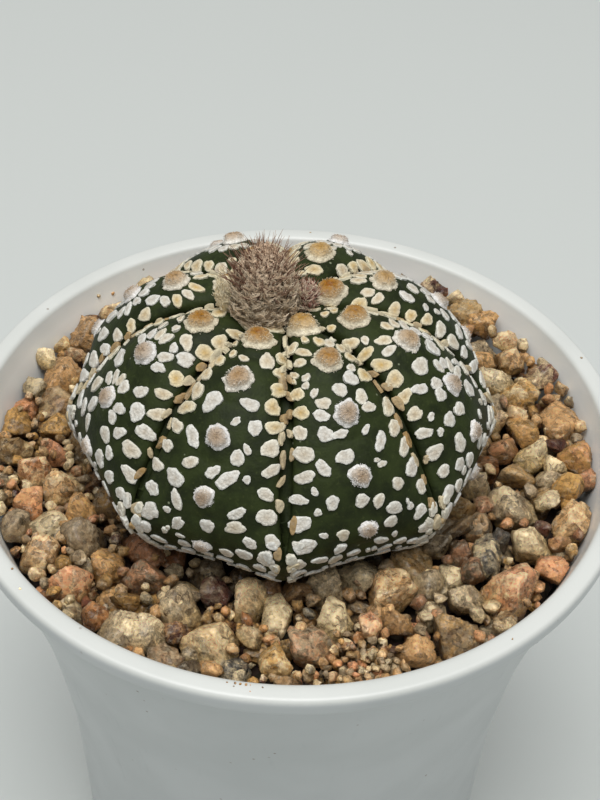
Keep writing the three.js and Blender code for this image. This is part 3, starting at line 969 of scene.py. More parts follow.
def drop_stones(settings, rng, heap, radii, picks, sink, drift=False, ring=(15.0, 39.0)):
    """Centres and radii of balls dropped one by one: of some random places between the
    ring's two radii, or in the drift, each takes the lowest, if that keeps it in the pot, off
    the body and under the level. Balls sink into each other, down to sink of their radius."""
    kept = []
    for radius in radii:
        angle = rng.uniform(0, TURN, picks)
        far = np.sqrt(rng.uniform(ring[0] ** 2, ring[1] ** 2, picks)) * MM
        x, y = far * np.sin(angle), -far * np.cos(angle)
        if drift:
            x, y = rng.normal(DRIFT_PLACE[:, None], DRIFT_SPREAD, (2, picks))
        z = np.array([heap.rest(a, b, radius * sink) for a, b in zip(x, y)])
        inside = np.hypot(x, y) + radius * INSIDE < inner_radius(z)
        inside &= outside_body(np.stack([x, y, z], -1), radius)
        inside &= z + radius * INSIDE < ground(settings, x, y)
        if not inside.any():
            continue
        best = np.argmin(np.where(inside, z, 1.0))
        heap.settle(x[best], y[best], z[best], radius * sink)
        kept.append([x[best], y[best], z[best], radius])
    return np.array(kept)


def noted_stones(settings, heap):
    """Centres and radii of the stones that stand out, set into the heap with their tops at
    the level, and the number of each one's swatch."""
    names = list(SWATCHES)
    rows = [(*row, names.index(name)) for name, group in NOTED_STONES.items() for row in group]
    x, y, radius, swatch = np.array(rows).T
    x, y, radius = x * MM, y * MM, radius * MM
    balls = np.stack([x, y, ground(settings, x, y) - radius * 0.72, radius], -1)
    for ball in balls:
        heap.settle(*ball[:3], ball[3] * 0.84)
    return balls, swatch.astype(int)


def lip_crumbs(rng):
    """Middles and radii of a few crumbs lying on the lip, most of them at the front, and of
    two specks on the inner wall."""
    angle = np.concatenate([rng.normal(-0.11, 0.035, 8), rng.uniform(0, TURN, 6), [-2.33, -2.39]])
    far = np.append(rng.uniform(40.5, 41.5, 14), [39.2, 39.0])
    size = np.append(0.09 + 0.17 * rng.beta(1, 2, 14), [0.30, 0.26])
    z = np.append(77.95 + size[:14] * 0.4, [76.0, 75.3])
    return np.stack([far * np.sin(angle), -far * np.cos(angle), z, size], -1) * MM


def stone_forms(rng, balls, rings, around, flat, inside):
    """Chipped stones, and 0 to 1 for how near each point is to an edge. In direction d the
    radius is the p-norm blend of the planes d . n / h over a jittered spread of normals n at
    depths h, so facets meet in slightly rounded edges, less a few folds |cos(k . d)|; each is
    then squashed, down to flat, turned and, if it is to be inside, kept off the pot."""
    count = len(balls)
    theta = np.linspace(0, np.pi, rings + 2)[1:-1, None]
    ways, faces = capped(UP, polar(np.sin(theta), bearings(around), np.cos(theta)), -UP)
    level = 1 - 2 * (np.arange(PLANES) + 0.5) / PLANES
    swirl = np.arange(PLANES) * np.pi * (3 - np.sqrt(5))
    spread = unit(polar(1.0, swirl, level / np.sqrt(1 - level**2)))
    normals = unit(spread + rng.normal(0, 0.46, (count, PLANES, 3)))
    depth = rng.uniform(0.60, 1.0, (count, PLANES))
    facing = np.maximum(np.einsum("vc,npc->nvp", ways, normals), 0) / depth[:, None]
    radius = (facing**SHARP).sum(-1) ** (-1 / SHARP)
    edge = np.clip((1 - radius * facing.max(-1)) / 0.018, 0, 1)
    radius = np.minimum(radius, FURTHEST)
    for wave in FOLDS:
        pull = rng.normal(0, wave, (count, 3))
        swing = np.cos(pull @ ways.T + rng.uniform(0, TURN, (count, 1)))
        radius *= 1 - 0.11 * np.abs(swing) / wave**0.5
    radius *= 1 + rng.normal(0, 0.022, radius.shape)
    points = ways * radius[..., None] * FILL
    points[..., 1] *= rng.uniform(flat + 0.04, 1.0, (count, 1))
    points[..., 2] *= rng.uniform(flat - 0.04, 0.98, (count, 1))
    spin = rng.uniform(0, TURN, count)
    for axis, angle in enumerate((*rng.normal(0, 0.5, (2, count)), spin)):
        points = turned(points, angle, axis)
    points = points * balls[:, None, 3:] * TOUCH + balls[:, None, :3]
    if inside:
        far = np.hypot(points[..., 0], points[..., 1])
        limit = inner_radius(points[..., 2]) - 0.12 * MM
        points[..., :2] *= np.minimum(1, limit / np.maximum(far, 1e-9))[..., None]
    return *copies(points, faces), edge[..., None]


def stone_tints(settings, rng, points, edge, chosen):
    """Two swatches for each stone, its own and its crust's, each a little lighter or darker:
    edges are worn towards the crust's, painted light lightens the top and darkens the
    underside, and a painted shadow darkens the stones by the body. Chosen gives the stones'
    own swatches, or is None."""
    count = len(edge)
    swatches = np.array([getattr(settings, name) for name in SWATCHES])
    own_shares, crust_shares = np.array(list(SWATCHES.values())).T
    main = rng.choice(len(swatches), count, p=own_shares)
    vein = rng.choice(len(swatches), count, p=crust_shares)
    tones = rng.uniform(0.50, 1.28, (2, count, 1))
    if chosen is not None:
        main, tones = chosen, 0.85 + 0.3 * tones
    main, vein = swatches[main] * tones[0], swatches[vein] * tones[1]
    height = points[:, 2].reshape(count, -1)
    low, high = height.min(1, keepdims=True), height.max(1, keepdims=True)
    # Painted light: lighter towards each stone's top, darker towards its underside.
    dust_and_painted_light = (0.12 + 1.10 * ((height - low) / (high - low)) ** 1.2)[..., None]
    # The painted shade turns browner as it darkens.
    dust_and_painted_light = dust_and_painted_light * np.minimum(dust_and_painted_light, 1) ** np.array([0, 0.2, 0.75])
    near = points[:, :2].reshape(count, -1, 2).mean(1) - BODY_CENTRE[:2]
    tiny = np.interp((high - low) / MM, [0.8, 2.0], [1.35, 1])
    # Painted shadow of the body on the stones next to it.
    painted_body_shadow = np.interp(np.linalg.norm(near, axis=1) / MM, [22, 27.5], [0.52, 1])
    dust_and_painted_light = dust_and_painted_light * painted_body_shadow[:, None, None] * tiny[..., None]
    main, vein = main[:, None], (vein * 0.8 + main * 0.2)[:, None]
    worn = blended(main, vein * 1.1, edge * 0.7)
    return {"tint": (worn * dust_and_painted_light).reshape(-1, 3), "vein": (vein * dust_and_painted_light).reshape(-1, 3)}


def stone_layers(settings, rng):
    """For each piece of stones, its balls, its rings of faces and the faces round a ring; and
    the noted stones' swatches. They are dropped in order: the noted stones, the drift, the
    stones in four rounds from large to small, an outer ring of smaller ones, and the chips."""
    heap = Heap(70.0 * MM)
    noted, swatches = noted_stones(settings, heap)
    fine = drop_stones(settings, rng, heap, rng.uniform(0.4, 0.9, 300) * MM, 5, 0.85, True)
    sizes = np.sort(rng.beta(1.4, 1.9, settings.number).reshape(4, -1), 1)[:, ::-1].ravel()
    sizes = settings.smallest + (settings.largest - settings.smallest) * sizes
    big = drop_stones(settings, rng, heap, sizes, 36, 0.84)
    sizes = np.sort(rng.uniform(1.3, 2.9, 180))[::-1] * MM
    outer = drop_stones(settings, rng, heap, sizes, 20, 0.84, ring=(33.5, 38.6))
    sizes = 0.5 + 0.9 * rng.beta(1.1, 2.2, settings.fines)
    small = drop_stones(settings, rng, heap, sizes * MM, 16, 0.85, ring=(23.0, 38.6))
    big = np.concatenate([big, outer])
    big = big[np.argsort(big[:, 2] + 0.5 * big[:, 3])]
    layers = {
        "stones": (big[:-TOP_STONES], 6, 10),
        "top_stones": (big[-TOP_STONES:], 22, 32),
        "noted_stones": (noted, 22, 32),
        "chips": (np.concatenate([small, fine]), 4, 7),
        "crumbs": (lip_crumbs(rng), 4, 7),
    }
    return layers, swatches


def build_stones(settings):
    """Name and form of each piece of stones; small stones are left flat-faced."""
    rng = np.random.default_rng(settings.seed)
    layers, swatches = stone_layers(settings, rng)
    for name, (balls, rings, around) in layers.items():
        noted = name == "noted_stones"
        points, faces, edge = stone_forms(
            rng, balls, rings, around, flat=0.84 if noted else 0.66, inside=name != "crumbs"
        )
        tints = stone_tints(settings, rng, points, edge, swatches if noted else None)
        yield name, Form(points, faces, tints, np.full(len(faces[0]), rings < 10))


def grit_core():
    """The filling under the stones: a lathed plug with a rippled top."""
    angle = bearings(96)
    radius, height = GRIT_OUTLINE[:, :1], GRIT_OUTLINE[:, 1:]
    wave = 0.35 * MM * np.sin(7 * angle + radius * 900) * np.cos(5 * angle)
    rings = polar(radius, angle, height + wave * (height > 70 * MM))
    return Form(*capped(UP * height[0], rings, UP * height[-1]))


# Body, flecks and areoles


def body_skin(settings):
    """The body's grid: columns crowd towards the grooves as (1 - cos(pi u)) / 2, rows run
    from the crown to the root's tip. The skin swells under each areole and has a shallow
    fold below it, and a sharp crease, exp(-(d / width)^2) deep, runs down each groove."""
    u = np.arange(settings.rib_columns) / settings.rib_columns
    across = np.tile((1 - np.cos(np.pi * u)) / 2, RIBS)
    rib = np.repeat(np.arange(RIBS), settings.rib_columns)
    upper = np.linspace(0, 0.7, settings.rows - 16)[1:]
    station = np.concatenate([upper, np.linspace(0.7, 1, 18)[1:-1]])[:, None]
    shape = np.broadcast_shapes(station.shape, across.shape)
    rib, across, station = (np.broadcast_to(a, shape) for a in (rib, across, station))
    points = body_point(rib, across, station)
    normal = body_normal(rib, across, station)
    wide = np.linalg.norm(body_slopes(rib, np.full(shape, 0.5), station)[0], axis=-1)
    from_groove = np.minimum(across, 1 - across) * wide
    run = np.interp(station, [0.05, 0.16, 0.5, 0.6], [0, 1, 1, 0])
    lift = -settings.crease * run * np.exp(-((from_groove / CREASE_WIDTH) ** 2))
    for place in areole_places():
        d_across, d_station = body_slopes(*place)
        away = points - body_point(*place)
        side, down = away @ unit(d_across), away @ unit(d_station)
        far = np.hypot(side, down)
        fold = 0.16 * MM * np.exp(-(((far - 2.9 * MM) / (0.55 * MM)) ** 2))
        swell = 0.22 * MM * np.exp(-((far / (2.2 * MM)) ** 2))
        lift += (far < 5 * MM) * (swell - fold * (down > 0) * down / (3 * MM))
    points = points + normal * lift[..., None]
    return Form(*capped(body_point(0, 0.0, 0.0), points, body_point(0, 0.0, 1.0)))


def pads(rng, spots, radius, stretch, turn, thickness, edge, heart):
    """Felt pads. The outline is radius * (1 + waves) with a ragged margin, stretched one way
    and turned; the rings go from under the skin up a crisp side and in over a slightly
    sunken middle. The side is flat-faced."""
    count, around = len(radius), 18
    angle = bearings(around)
    waves = 1 + ripple(angle, rng, count, (2, 3, 5, 7), 0.34)
    ragged = rng.uniform(-1, 1, waves.shape) * 0.06
    reach = [(waves + ragged * torn) * scale for scale, _, torn in FLECK_SECTION]
    reach = np.concatenate(reach, 1) * radius[:, None]
    bearing = np.tile(angle, len(FLECK_SECTION))
    x = reach * np.cos(bearing) * stretch[:, None]
    y = reach * np.sin(bearing) / stretch[:, None]
    x, y = (np.pad(a, ((0, 0), (1, 1))) for a in rotated(x, y, turn[:, None]))
    rise = np.array([-0.6] + [high for _, high, _ in FLECK_SECTION for _ in angle] + [0.84])
    lumps = 1 + rng.normal(0, 0.09, (count, len(rise)))
    points = laid_pads(spots, x, y, thickness[:, None] * rise * lumps)
    part = np.repeat([0.0, 0.0, 0.0, 0.35, 1.0], [1, around, around, around, 1])[None, :, None]
    tints = blended(edge[:, None], heart[:, None], part)
    points, faces = copies(points, closed_faces(len(FLECK_SECTION), around))
    side = np.arange(len(faces[0])) % ((len(FLECK_SECTION) - 1) * around) < around
    return Form(points, faces, {"tint": tints.reshape(-1, 3)}, side)


def fleck_rows(settings, rng):
    """Rib, across, station, radius and turn of each fleck: arcs on the crown's side of the
    areoles half way down, rows beside the grooves, then random places, some with a twin that
    touches; each is kept only where it is clear of those already there."""
    places = areole_places()
    spots = as_spots(places)
    radii, _ = areole_sizes(spots.station)
    centres, reach, rows = list(body_point(*spots)), list(radii), []

    def attempt(rib, across, station, radius, turn, gap):
        """Keeps a fleck and says so, if it is on the rib's face and gap clear of the rest."""
        if not (0.05 < across < 0.95 and 0.03 < station < 0.67):
            return False
        place = body_point(rib, across, station)
        away = np.linalg.norm(np.array(centres) - place, axis=1)
        clear = np.all(away > np.array(reach) + radius + gap)
        if clear:
            centres.append(place)
            reach.append(radius)
            rows.append((rib, across, station, radius, turn))
        return clear

    for (rib, across, station), radius in zip(places, radii):
        middle = rng.uniform(-0.25, 0.25)
        if rib == 2 or not 0.18 < station < 0.38:
            continue
        for bearing in middle + np.array([0.25, -0.25, 0.76, -0.76, 1.28, -1.28, 1.8]):
            size = settings.radius * rng.uniform(0.62, 0.76)
            place = beside(rib, across, station, radius + 1.3 * MM, bearing)
            attempt(rib, *place, size, np.pi / 2 - bearing, -0.36 * MM)
    for rib in range(RIBS):
        for side in (0, 1):
            for station in np.arange(0.06, 0.52, 0.034) + rng.uniform(0, 0.02):
                place = abs(side - rng.uniform(0.075, 0.14))
                size = settings.radius * rng.uniform(0.70, 0.98)
                attempt(rib, place, station, size, rng.normal(0, 0.35), 0.08 * MM)
    for rib in range(RIBS):
        for _ in range(settings.tries):
            across, station = rng.uniform(0.06, 0.94), rng.uniform(0.05, 0.66)
            size = settings.radius * (rng.uniform(0.74, 1.1) if rng.uniform() < 0.93 else 0.45)
            size *= np.interp(station, [0.1, 0.3, 0.45, 0.6], [1.05, 1.0, 0.85, 0.74])
            gap = settings.gap * np.interp(station, [0.12, 0.24, 0.4], [0.0, 0.7, 1.5])
            turn, bearing = rng.uniform(0, TURN, 2)
            if attempt(rib, across, station, size, turn, gap) and rng.uniform() < 0.16:
                small = size * rng.uniform(0.6, 0.95)
                place = beside(rib, across, station, size + small, bearing)
                attempt(rib, *place, small, turn, -0.12 * MM)
    return rows


def creaminess(across, station, rng):
    """0 for a white fleck to 1 for a cream one: by the crown, or beside a groove."""
    crown = np.clip((0.24 - station) / 0.12, 0, 1)
    groove = (np.minimum(across, 1 - across) < 0.17) * np.clip((0.42 - station) / 0.16, 0, 1)
    return np.clip(np.maximum(crown, groove * 0.9) + rng.normal(0, 0.16, len(across)), 0, 1)


def build_flecks(settings):
    """White and cream flecks over the ribs."""
    rng = np.random.default_rng(settings.seed)
    table = np.array(fleck_rows(settings, rng))
    spots, (radius, turn) = as_spots(table[:, :3]), table[:, 3:].T
    count = len(table)
    cream = creaminess(spots.across, spots.station, rng)[:, None]
    tone = rng.uniform(0.93, 1.04, (count, 1))
    edge = blended(settings.white, settings.cream, cream) * tone
    heart = blended(settings.heart, settings.ochre, cream)
    stretch = np.sqrt(rng.uniform(1.0, 1.75, count))
    thickness = settings.thickness * rng.uniform(0.75, 1.25, count)
    return pads(rng, spots, radius, stretch, turn, thickness, edge, heart)


def build_scales(settings):
    """Dried scales lying along the grooves, and knots of white felt at the grooves' feet. A
    tone goes from the scales' colour at 0 over cream at 1 to white at 2."""
    rng = np.random.default_rng(settings.seed + 1)
    rows = []
    for rib in range(RIBS):
        for side in (0, 1):
            for station in np.arange(0.09, 0.5, 0.034) + rng.uniform(0, 0.03):
                if rng.uniform() < 0.3:
                    continue
                across = abs(side - rng.uniform(0.014, 0.05))
                size, stretch = rng.uniform(0.42, 0.84), rng.uniform(1.05, 1.6)
                tone = rng.uniform(0.0, 0.7) if station > 0.2 else 0.8
                rows.append((rib, across, station, size, stretch, tone))
            for station in np.arange(0.475, 0.66, 0.022):
                across = abs(side - rng.uniform(0.03, 0.10))
                size, stretch = rng.uniform(0.5, 0.85), rng.uniform(1.0, 1.35)
                rows.append((rib, across, station, size, stretch, rng.uniform(1.5, 2.0)))
    table = np.array(rows)
    size, stretch, tone = table[:, 3:].T
    tone = tone[:, None]
    edge = blended(settings.scale, settings.cream, np.minimum(tone, 1))
    to_white = np.array(settings.white) - np.array(settings.cream)
    edge = edge + to_white * np.maximum(tone - 1, 0)
    turn = np.pi / 2 + rng.normal(0, 0.45, len(rows))
    thickness = settings.thickness * rng.uniform(0.9, 1.6, len(rows))
    spots = as_spots(table[:, :3])
    return pads(rng, spots, size * MM, stretch, turn, thickness, edge, edge * 0.62)


def areole_tones(settings, stations):
    """Middle and rim colours of each areole: gold by the crown, mauve further down."""
    rng = np.random.default_rng(settings.seed)
    gold = np.clip((0.27 - stations) / 0.10, 0, 1)[:, None]
    warm = rng.uniform(0, 0.95, (len(stations), 1))
    uppermost = np.cumsum([0] + [len(angles) for angles in AREOLE_ANGLES[:-1]])
    warm[uppermost, 0] = CROWN_WARMTH
    heart = blended(settings.mauve, blended(settings.gold, settings.rust, warm), gold)
    pale = blended(settings.old_rim, settings.rim, gold)
    return heart, pale * rng.uniform(0.92, 1.03, (len(stations), 1))


def build_areoles(settings):
    """Wool cushions in ragged skirts. The section goes from under the skin out to the torn
    margin, in up the skirt and over a lumpy cushion with a slightly sunken middle."""
    rng = np.random.default_rng(settings.seed)
    spots = as_spots(areole_places())
    radius, tall = areole_sizes(spots.station)
    count, around = len(radius), 40
    angle = bearings(around)
    lobes = 1 + ripple(angle, rng, count, (2, 3, 5), 0.20)
    frill = ripple(angle, rng, count, (6, 9, 13), 0.7) + rng.uniform(-0.04, 0.04, (count, around))
    frill *= np.interp(radius, [settings.foot_radius, settings.crown_radius], [0.45, 1.0])[:, None]
    scale, rise, torn, part = AREOLE_SECTION.T[:, :, None]
    reach = radius[:, None, None] * scale * (lobes[:, None] + frill[:, None] * torn)
    lumps = 1 + rng.normal(0, 0.05, (count, len(AREOLE_SECTION), around))
    height = tall[:, None, None] * (rise * lumps + 0.8 * frill[:, None] * torn)
    flat = [a.reshape(count, -1) for a in (reach * np.cos(angle), reach * np.sin(angle), height)]
    x, y = (np.pad(a, ((0, 0), (1, 1))) for a in flat[:2])
    height = np.concatenate([-0.4 * tall[:, None], flat[2], 0.93 * tall[:, None]], 1)
    points = laid_pads(spots, x, y, height)
    heart, rim = areole_tones(settings, spots.station)
    part = np.concatenate([[0], np.repeat(part[:, 0], around), [1.2]])[None, :, None]
    tints = np.maximum(blended(rim[:, None], heart[:, None], part), 0.01)
    points, faces = copies(points, closed_faces(len(AREOLE_SECTION), around))
    return Form(points, faces, {"tint": tints.reshape(-1, 3)})


def build_areole_hairs(settings):
    """Short bent hairs: a fringe that lies outwards past the skirt, and a matted fuzz with no
    one direction on the cushion."""
    rng = np.random.default_rng(settings.seed + 1)
    spots = as_spots(areole_places())
    radius, tall = areole_sizes(spots.station)
    heart, rim = areole_tones(settings, spots.station)
    pick = np.repeat(np.arange(len(radius)), settings.hairs)
    count = len(pick)
    part = np.sqrt(rng.uniform(0, 0.98, count))
    angle = rng.uniform(0, TURN, count)
    normal, centre = body_normal(*spots)[pick], body_point(*spots)[pick]
    d_across, d_station = body_slopes(*spots)
    side, crown = unit(d_across)[pick], -unit(d_station)[pick]
    outward = side * np.cos(angle)[:, None] + crown * np.sin(angle)[:, None]
    section = AREOLE_SECTION[1:][::-1]
    rise = tall[pick] * (np.interp(part, section[:, 0], section[:, 1]) - 0.05)
    root = centre + outward * (radius[pick] * part)[:, None] + normal * rise[:, None]
    fringe = np.clip((part - 0.62) / 0.2, 0, 1)[:, None]
    around = np.cross(normal, outward) * rng.normal(0, 1, (count, 1))
    loose = outward * rng.normal(0, 1, (count, 1)) + around + normal * 0.45
    way = unit(loose * (1 - fringe) + (outward + around * 0.35 + normal * 0.1) * fringe)
    size = rng.uniform(0.14, 0.34, (count, 1)) * MM * (1.0 - 0.55 * fringe)
    bend = unit(np.cross(way, rng.normal(0, 1, way.shape)))
    paths = bent(root, way, bend, size[:, None], 0.4, 4)
    mix = np.clip((part - 0.45) / 0.22, 0, 1)[:, None]
    tone = blended(heart[pick], rim[pick], mix) * rng.uniform(0.84, 1.12, (count, 1))
    return tubes(paths, 0.036 * MM, 0.75, tone, 0.92, 1.08)


# Buds


def egg(centre, width, height, tint, taper=0.0, rings=22, around=32):
    """A closed egg: radius width * sin(t) ** (0.8 - 1.2 taper cos(t)) * (1 + taper cos(t))
    and height -height * cos(t), t over half a turn: blunt below and pointed on top."""
    t = np.linspace(0, np.pi, rings + 2)[1:-1, None]
    radius = width * np.sin(t) ** (0.8 - 1.2 * taper * np.cos(t)) * (1 + taper * np.cos(t))
    shell = polar(radius, bearings(around), -height * np.cos(t))
    points, faces = capped(UP * -height, shell, UP * height)
    return Form(points + centre, faces, {"tint": np.tile(tint, (len(points), 1))})


def wool_locks(rng, centre, width, height, locks, strands, reach, sway, taper=0.0):
    """Wool in locks that lie on an egg. A lock climbs, or hangs near the foot, along the
    surface, swaying sideways and in and out as sines of its length, and its strands keep
    within a tapering bundle. Reach and sway are in millimetres. Gives the strands' paths and
    the number of each one's lock."""
    level = 1.9 * rng.beta(1.0, 1.2, locks) - 0.97
    radial = polar(1.0, rng.uniform(0, TURN, locks), 0.0)
    sideways = np.cross(UP, radial)
    flat = (1 - level**2) ** (0.4 + 0.6 * taper * level) * (1 - taper * level)
    root = radial * flat[:, None] * width + UP * level[:, None] * height
    outward = unit(root / [width**2, width**2, height**2])
    climb = unit(UP - outward * outward[:, 2:] + UP * 0.3 * np.maximum(level, 0)[:, None])
    climb *= np.where((level < -0.35) & (rng.uniform(size=locks) < 0.4), -1, 1)[:, None]
    loose = rng.normal(0, 0.75 - 0.4 * level)[:, None]
    way = unit(climb + sideways * loose + outward * 0.22)
    pick = np.repeat(np.arange(locks), strands)
    count = len(pick)
    part = np.linspace(0, 1, 8)[None, :, None]
    size = (rng.uniform(*reach, locks)[pick] * rng.uniform(0.75, 1.1, count))[:, None, None]
    swing = rng.uniform(0.5, 1, (2, locks, 1, 1))[:, pick] * sway
    phase = rng.uniform(0, TURN, (2, locks))[:, pick] + rng.normal(0, 0.35, (2, count))
    turns = rng.uniform(1.0, 2.4, locks)[pick] * TURN
    waves = [np.sin(turns[:, None, None] * part + p[:, None, None]) for p in phase]
    place = rng.normal(0, 0.15, (2, count, 1, 1)) * (1 - 0.4 * part)
    side = swing[0] * waves[0] * part**0.5 + place[0]
    lift = swing[1] * waves[1] * 0.6 * part**0.5 + np.abs(place[1]) - 0.05 * size**2 * part**2
    paths = (centre + root)[pick][:, None] + way[pick][:, None] * size * part * MM
    paths = paths + (sideways[pick][:, None] * side + outward[pick][:, None] * lift) * MM
    return paths, pick


def bristle_hairs(rng, centre, width, height, count, low, high):
    """Paths of straighter hairs from the egg's upper part, fanned out and drawn upwards. Low
    and high are the least and the greatest reach in millimetres."""
    level = rng.uniform(-0.15, 1.0, count)
    sphere = polar(np.sqrt(1 - level**2), rng.uniform(0, TURN, count), level)
    slim = width * (0.98 - 0.50 * level)[:, None]
    root = centre + sphere * np.concatenate([slim, slim, 0 * slim + height * 0.88], 1)
    way = unit(sphere * [0.75, 0.75, 0.4] + UP + rng.normal(0, 0.20, sphere.shape))
    bend = unit(np.cross(way, rng.normal(0, 1, way.shape)))
    size = low + (high - low) * rng.beta(1.3, 2.4, (count, 1, 1))
    size = size * (1.2 - 0.5 * level[:, None, None]) * MM
    return bent(root, way, bend, size, 0.16, 5)


def cream_scale(rng, foot, settings):
    """A slim woolly scale that stands against the bud's left side: its core and its wool."""
    form = (foot + np.array([-4.4, -0.3, 2.9]) * MM, 0.9 * MM, 2.6 * MM)
    cream = np.array(settings.cream)
    paths, _ = wool_locks(rng, *form, 104, 5, (0.8, 1.7), 0.14)
    tone = cream * rng.uniform(0.92, 1.1, (len(paths), 1))
    return egg(*form, cream, 0.0, 12, 16), tubes(paths, 0.05 * MM, 0.7, tone)


def build_bud(settings):
    """The large bud: an egg under locks of wool and dark bristles, and the scale beside it."""
    rng = np.random.default_rng(settings.seed)
    foot = body_point(*BUD)
    centre = foot + UP * (settings.height - 0.25 * MM)
    form = (centre, settings.width, settings.height)
    # The core is darker than the wool: painted shade deep between the locks.
    core = egg(*form, np.array(settings.smoke) * 0.55, 0.44)
    paths, pick = wool_locks(rng, *form, settings.locks, 5, (1.4, 2.6), 0.36, 0.44)
    pale = rng.beta(1.3, 1.3, settings.locks)[pick, None] * 0.8
    pale = pale + rng.uniform(0, 0.2, (len(pick), 1))
    tone = blended(settings.smoke, settings.wool, pale)
    top = np.clip((paths[:, 0, 2:] - centre[2]) / settings.height + 0.2, 0, 1)
    tone = blended(tone, tone * [1.0, 0.92, 0.91], top) * 1.08
    curls = tubes(paths, 0.055 * MM, 0.7, tone, 0.72, 1.06)
    paths = bristle_hairs(rng, *form, settings.bristles, 1.7, 4.4)
    tone = blended(settings.bristle, settings.smoke, rng.uniform(0, 0.5, (len(paths), 1)))
    spikes = tubes(paths, 0.070 * MM, 0.8, tone, 0.8, 1.15)
    return joined(core, curls, spikes, *cream_scale(rng, foot, settings))


def build_young_bud(settings):
    """The young bud: a small tuft of cream to plum-coloured wool and dark red hairs."""
    rng = np.random.default_rng(settings.seed + 1)
    offset = np.array([-0.8 * MM, -0.2 * MM, settings.young_height + 0.1 * MM])
    form = (body_point(*YOUNG_BUD) + offset, settings.young_width, settings.young_height)
    # The core is darker than the hair: painted shade deep in the tuft.
    core = egg(*form, np.array(settings.plum) * 0.5, 0.1, 12, 20)
    paths, _ = wool_locks(rng, *form, settings.young_locks, 3, (0.8, 1.7), 0.22)
    tone = blended(settings.plum, settings.wool, rng.beta(1.2, 0.6, (len(paths), 1)))
    tuft = tubes(paths, 0.05 * MM, 0.7, tone, 0.85, 1.2)
    paths = bristle_hairs(rng, *form, 80, 1.0, 2.1)
    tone = blended(settings.plum, settings.bristle, rng.uniform(0.2, 1.0, (len(paths), 1)))
    spikes = tubes(paths, 0.05 * MM, 0.8, tone * [1.0, 0.78, 0.78], 0.7, 1.1)
    return joined(core, tuft, spikes)


# Operators


class AddPot(bpy.types.Operator):
    """Add the white plastic pot"""

    bl_idname = "star_cactus.pot"
    bl_label = "Pot"

    def execute(self, context):
        settings = context.scene.cactus_pot
        form, finish = build_pot(settings), plastic_finish(settings)
        add_piece("pot_shell", form, finish, "pot", merge=True)
        return {"FINISHED"}


class AddStones(bpy.types.Operator):
    """Add the grit filling and the crushed stones on it"""

    bl_idname = "star_cactus.stones"
    bl_label = "Crushed stone"

    def execute(self, context):
        add_piece("grit_core", grit_core(), grit_finish(), "stone_bed")
        finish = stone_finish()
        for name, form in build_stones(context.scene.cactus_stones):
            add_piece(name, form, finish, "stone_bed")
        return {"FINISHED"}


class AddBody(bpy.types.Operator):
    """Add the ribbed green body with its root"""

    bl_idname = "star_cactus.body"
    bl_label = "Body"

    def execute(self, context):
        settings = context.scene.cactus_body
        add_piece("skin", body_skin(settings), skin_finish(settings), "cactus_body")
        return {"FINISHED"}


class AddFlecks(bpy.types.Operator):
    """Add the felt flecks on the ribs and the dried scales in the grooves"""

    bl_idname = "star_cactus.flecks"
    bl_label = "Flecks and scales"

    def execute(self, context):
        settings = context.scene.cactus_flecks
        finish = chalk_finish("flecks_felt", 0.22)
        add_piece("flecks", build_flecks(settings), finish, "cactus_body")
        finish = chalk_finish("groove_scales_felt", 0.3)
        add_piece("groove_scales", build_scales(settings), finish, "cactus_body")
        return {"FINISHED"}


class AddAreoles(bpy.types.Operator):
    """Add the wool cushions down the ribs and their short hairs"""

    bl_idname = "star_cactus.areoles"
    bl_label = "Areoles"

    def execute(self, context):
        settings = context.scene.cactus_areoles
        finish = chalk_finish("areole_felt", 0.18)
        add_piece("areoles", build_areoles(settings), finish, "cactus_body")
        finish = wool_finish("areole_hair")
        add_piece("areole_hairs", build_areole_hairs(settings), finish, "cactus_body")
        return {"FINISHED"}


class AddBuds(bpy.types.Operator):
    """Add the large woolly bud and the young one"""

    bl_idname = "star_cactus.buds"
    bl_label = "Buds"

    def execute(self, context):
        settings = context.scene.cactus_buds
        finish = wool_finish("bud_hair")
        add_piece("bud", build_bud(settings), finish, "bud_large")
        add_piece("young_bud", build_young_bud(settings), finish, "bud_small")
        return {"FINISHED"}


def add_light(name, size, power, place):
    """A square area light that faces the object."""
    light = bpy.data.lights.new(name, "AREA")
    light.size = size
    light.energy = power
    lamp = add_object(name, light)
    lamp.location = place
    way = Vector(LIGHT_AIM) - Vector(place)
    lamp.rotation_euler = way.to_track_quat("-Z", "Y").to_euler()


def add_camera(focal):
    """The camera, which looks straight against its back vector and is rolled a little."""
    lens = bpy.data.cameras.new("camera")
    lens.lens = focal
    lens.sensor_width = 36.0
    lens.clip_start = 0.01
    back = CAMERA_BACK / np.linalg.norm(CAMERA_BACK)
    level = np.array([1.0, 0, 0])
    right = np.cos(CAMERA_ROLL) * level + np.sin(CAMERA_ROLL) * np.cross(back, level)
    turn = np.eye(4)
    turn[:3] = np.stack([right, np.cross(back, right), back, CAMERA_PLACE], -1)
    camera = add_object("camera", lens)
    camera.matrix_world = Matrix(turn.tolist())
    bpy.context.scene.camera = camera


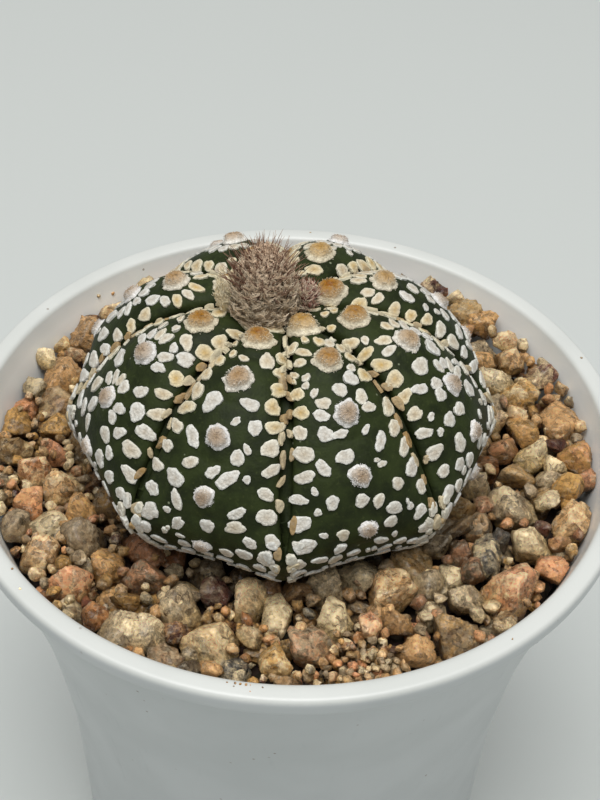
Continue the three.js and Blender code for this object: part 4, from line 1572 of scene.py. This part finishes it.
class AddStage(bpy.types.Operator):
    """Add the floor, the lights and the camera"""

    bl_idname = "star_cactus.stage"
    bl_label = "Floor, lights and camera"

    def execute(self, context):
        settings = context.scene.cactus_stage
        mesh = bpy.data.meshes.new("floor")
        signs = ((-1, -1), (1, -1), (1, 1), (-1, 1))
        corners = [(x * FLOOR_HALF, y * FLOOR_HALF, 0) for x, y in signs]
        mesh.from_pydata(corners, [], [(0, 1, 2, 3)])
        mesh.materials.append(floor_finish(settings))
        floor = add_object("floor", mesh)
        add_light("key", 0.9, settings.key, KEY_PLACE)
        add_light("fill", 1.0, settings.fill, FILL_PLACE)
        context.scene.view_settings.view_transform = "Standard"
        world = bpy.data.worlds.new("surroundings")
        world.use_nodes = True
        sky = world.node_tree.nodes["Background"]
        sky.inputs["Color"].default_value = (0.96, 0.98, 1.0, 1.0)
        sky.inputs["Strength"].default_value = settings.sky
        context.scene.world = world
        add_camera(settings.focal)
        return {"FINISHED"}


class StarCactusPanel(bpy.types.Panel):
    """The object's pieces, in the order they are made"""

    bl_idname = "VIEW3D_PT_star_cactus"
    bl_label = "Potted star cactus"
    bl_space_type = "VIEW_3D"
    bl_region_type = "UI"
    bl_category = "Star cactus"

    def draw(self, context):
        """One box for each operator, with its settings under it."""
        for name, group, operator in PARTS:
            box = self.layout.box()
            box.operator(operator.bl_idname)
            for field in group.__annotations__:
                box.prop(getattr(context.scene, name), field)


PARTS = (
    ("cactus_pot", PotSettings, AddPot),
    ("cactus_stones", StoneSettings, AddStones),
    ("cactus_body", BodySettings, AddBody),
    ("cactus_flecks", FleckSettings, AddFlecks),
    ("cactus_areoles", AreoleSettings, AddAreoles),
    ("cactus_buds", BudSettings, AddBuds),
    ("cactus_stage", StageSettings, AddStage),
)


def register():
    """Registers the settings, the operators and the panel."""
    for name, group, operator in PARTS:
        bpy.utils.register_class(group)
        bpy.utils.register_class(operator)
        setattr(bpy.types.Scene, name, PointerProperty(type=group))
    bpy.utils.register_class(StarCactusPanel)


def unregister():
    """Takes back what register did."""
    bpy.utils.unregister_class(StarCactusPanel)
    for name, group, operator in PARTS:
        delattr(bpy.types.Scene, name)
        bpy.utils.unregister_class(operator)
        bpy.utils.unregister_class(group)


def main():
    """Registers the add-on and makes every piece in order."""
    register()
    bpy.ops.star_cactus.pot()
    bpy.ops.star_cactus.stones()
    bpy.ops.star_cactus.body()
    bpy.ops.star_cactus.flecks()
    bpy.ops.star_cactus.areoles()
    bpy.ops.star_cactus.buds()
    bpy.ops.star_cactus.stage()
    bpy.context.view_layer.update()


if __name__ == "__main__":
    main()
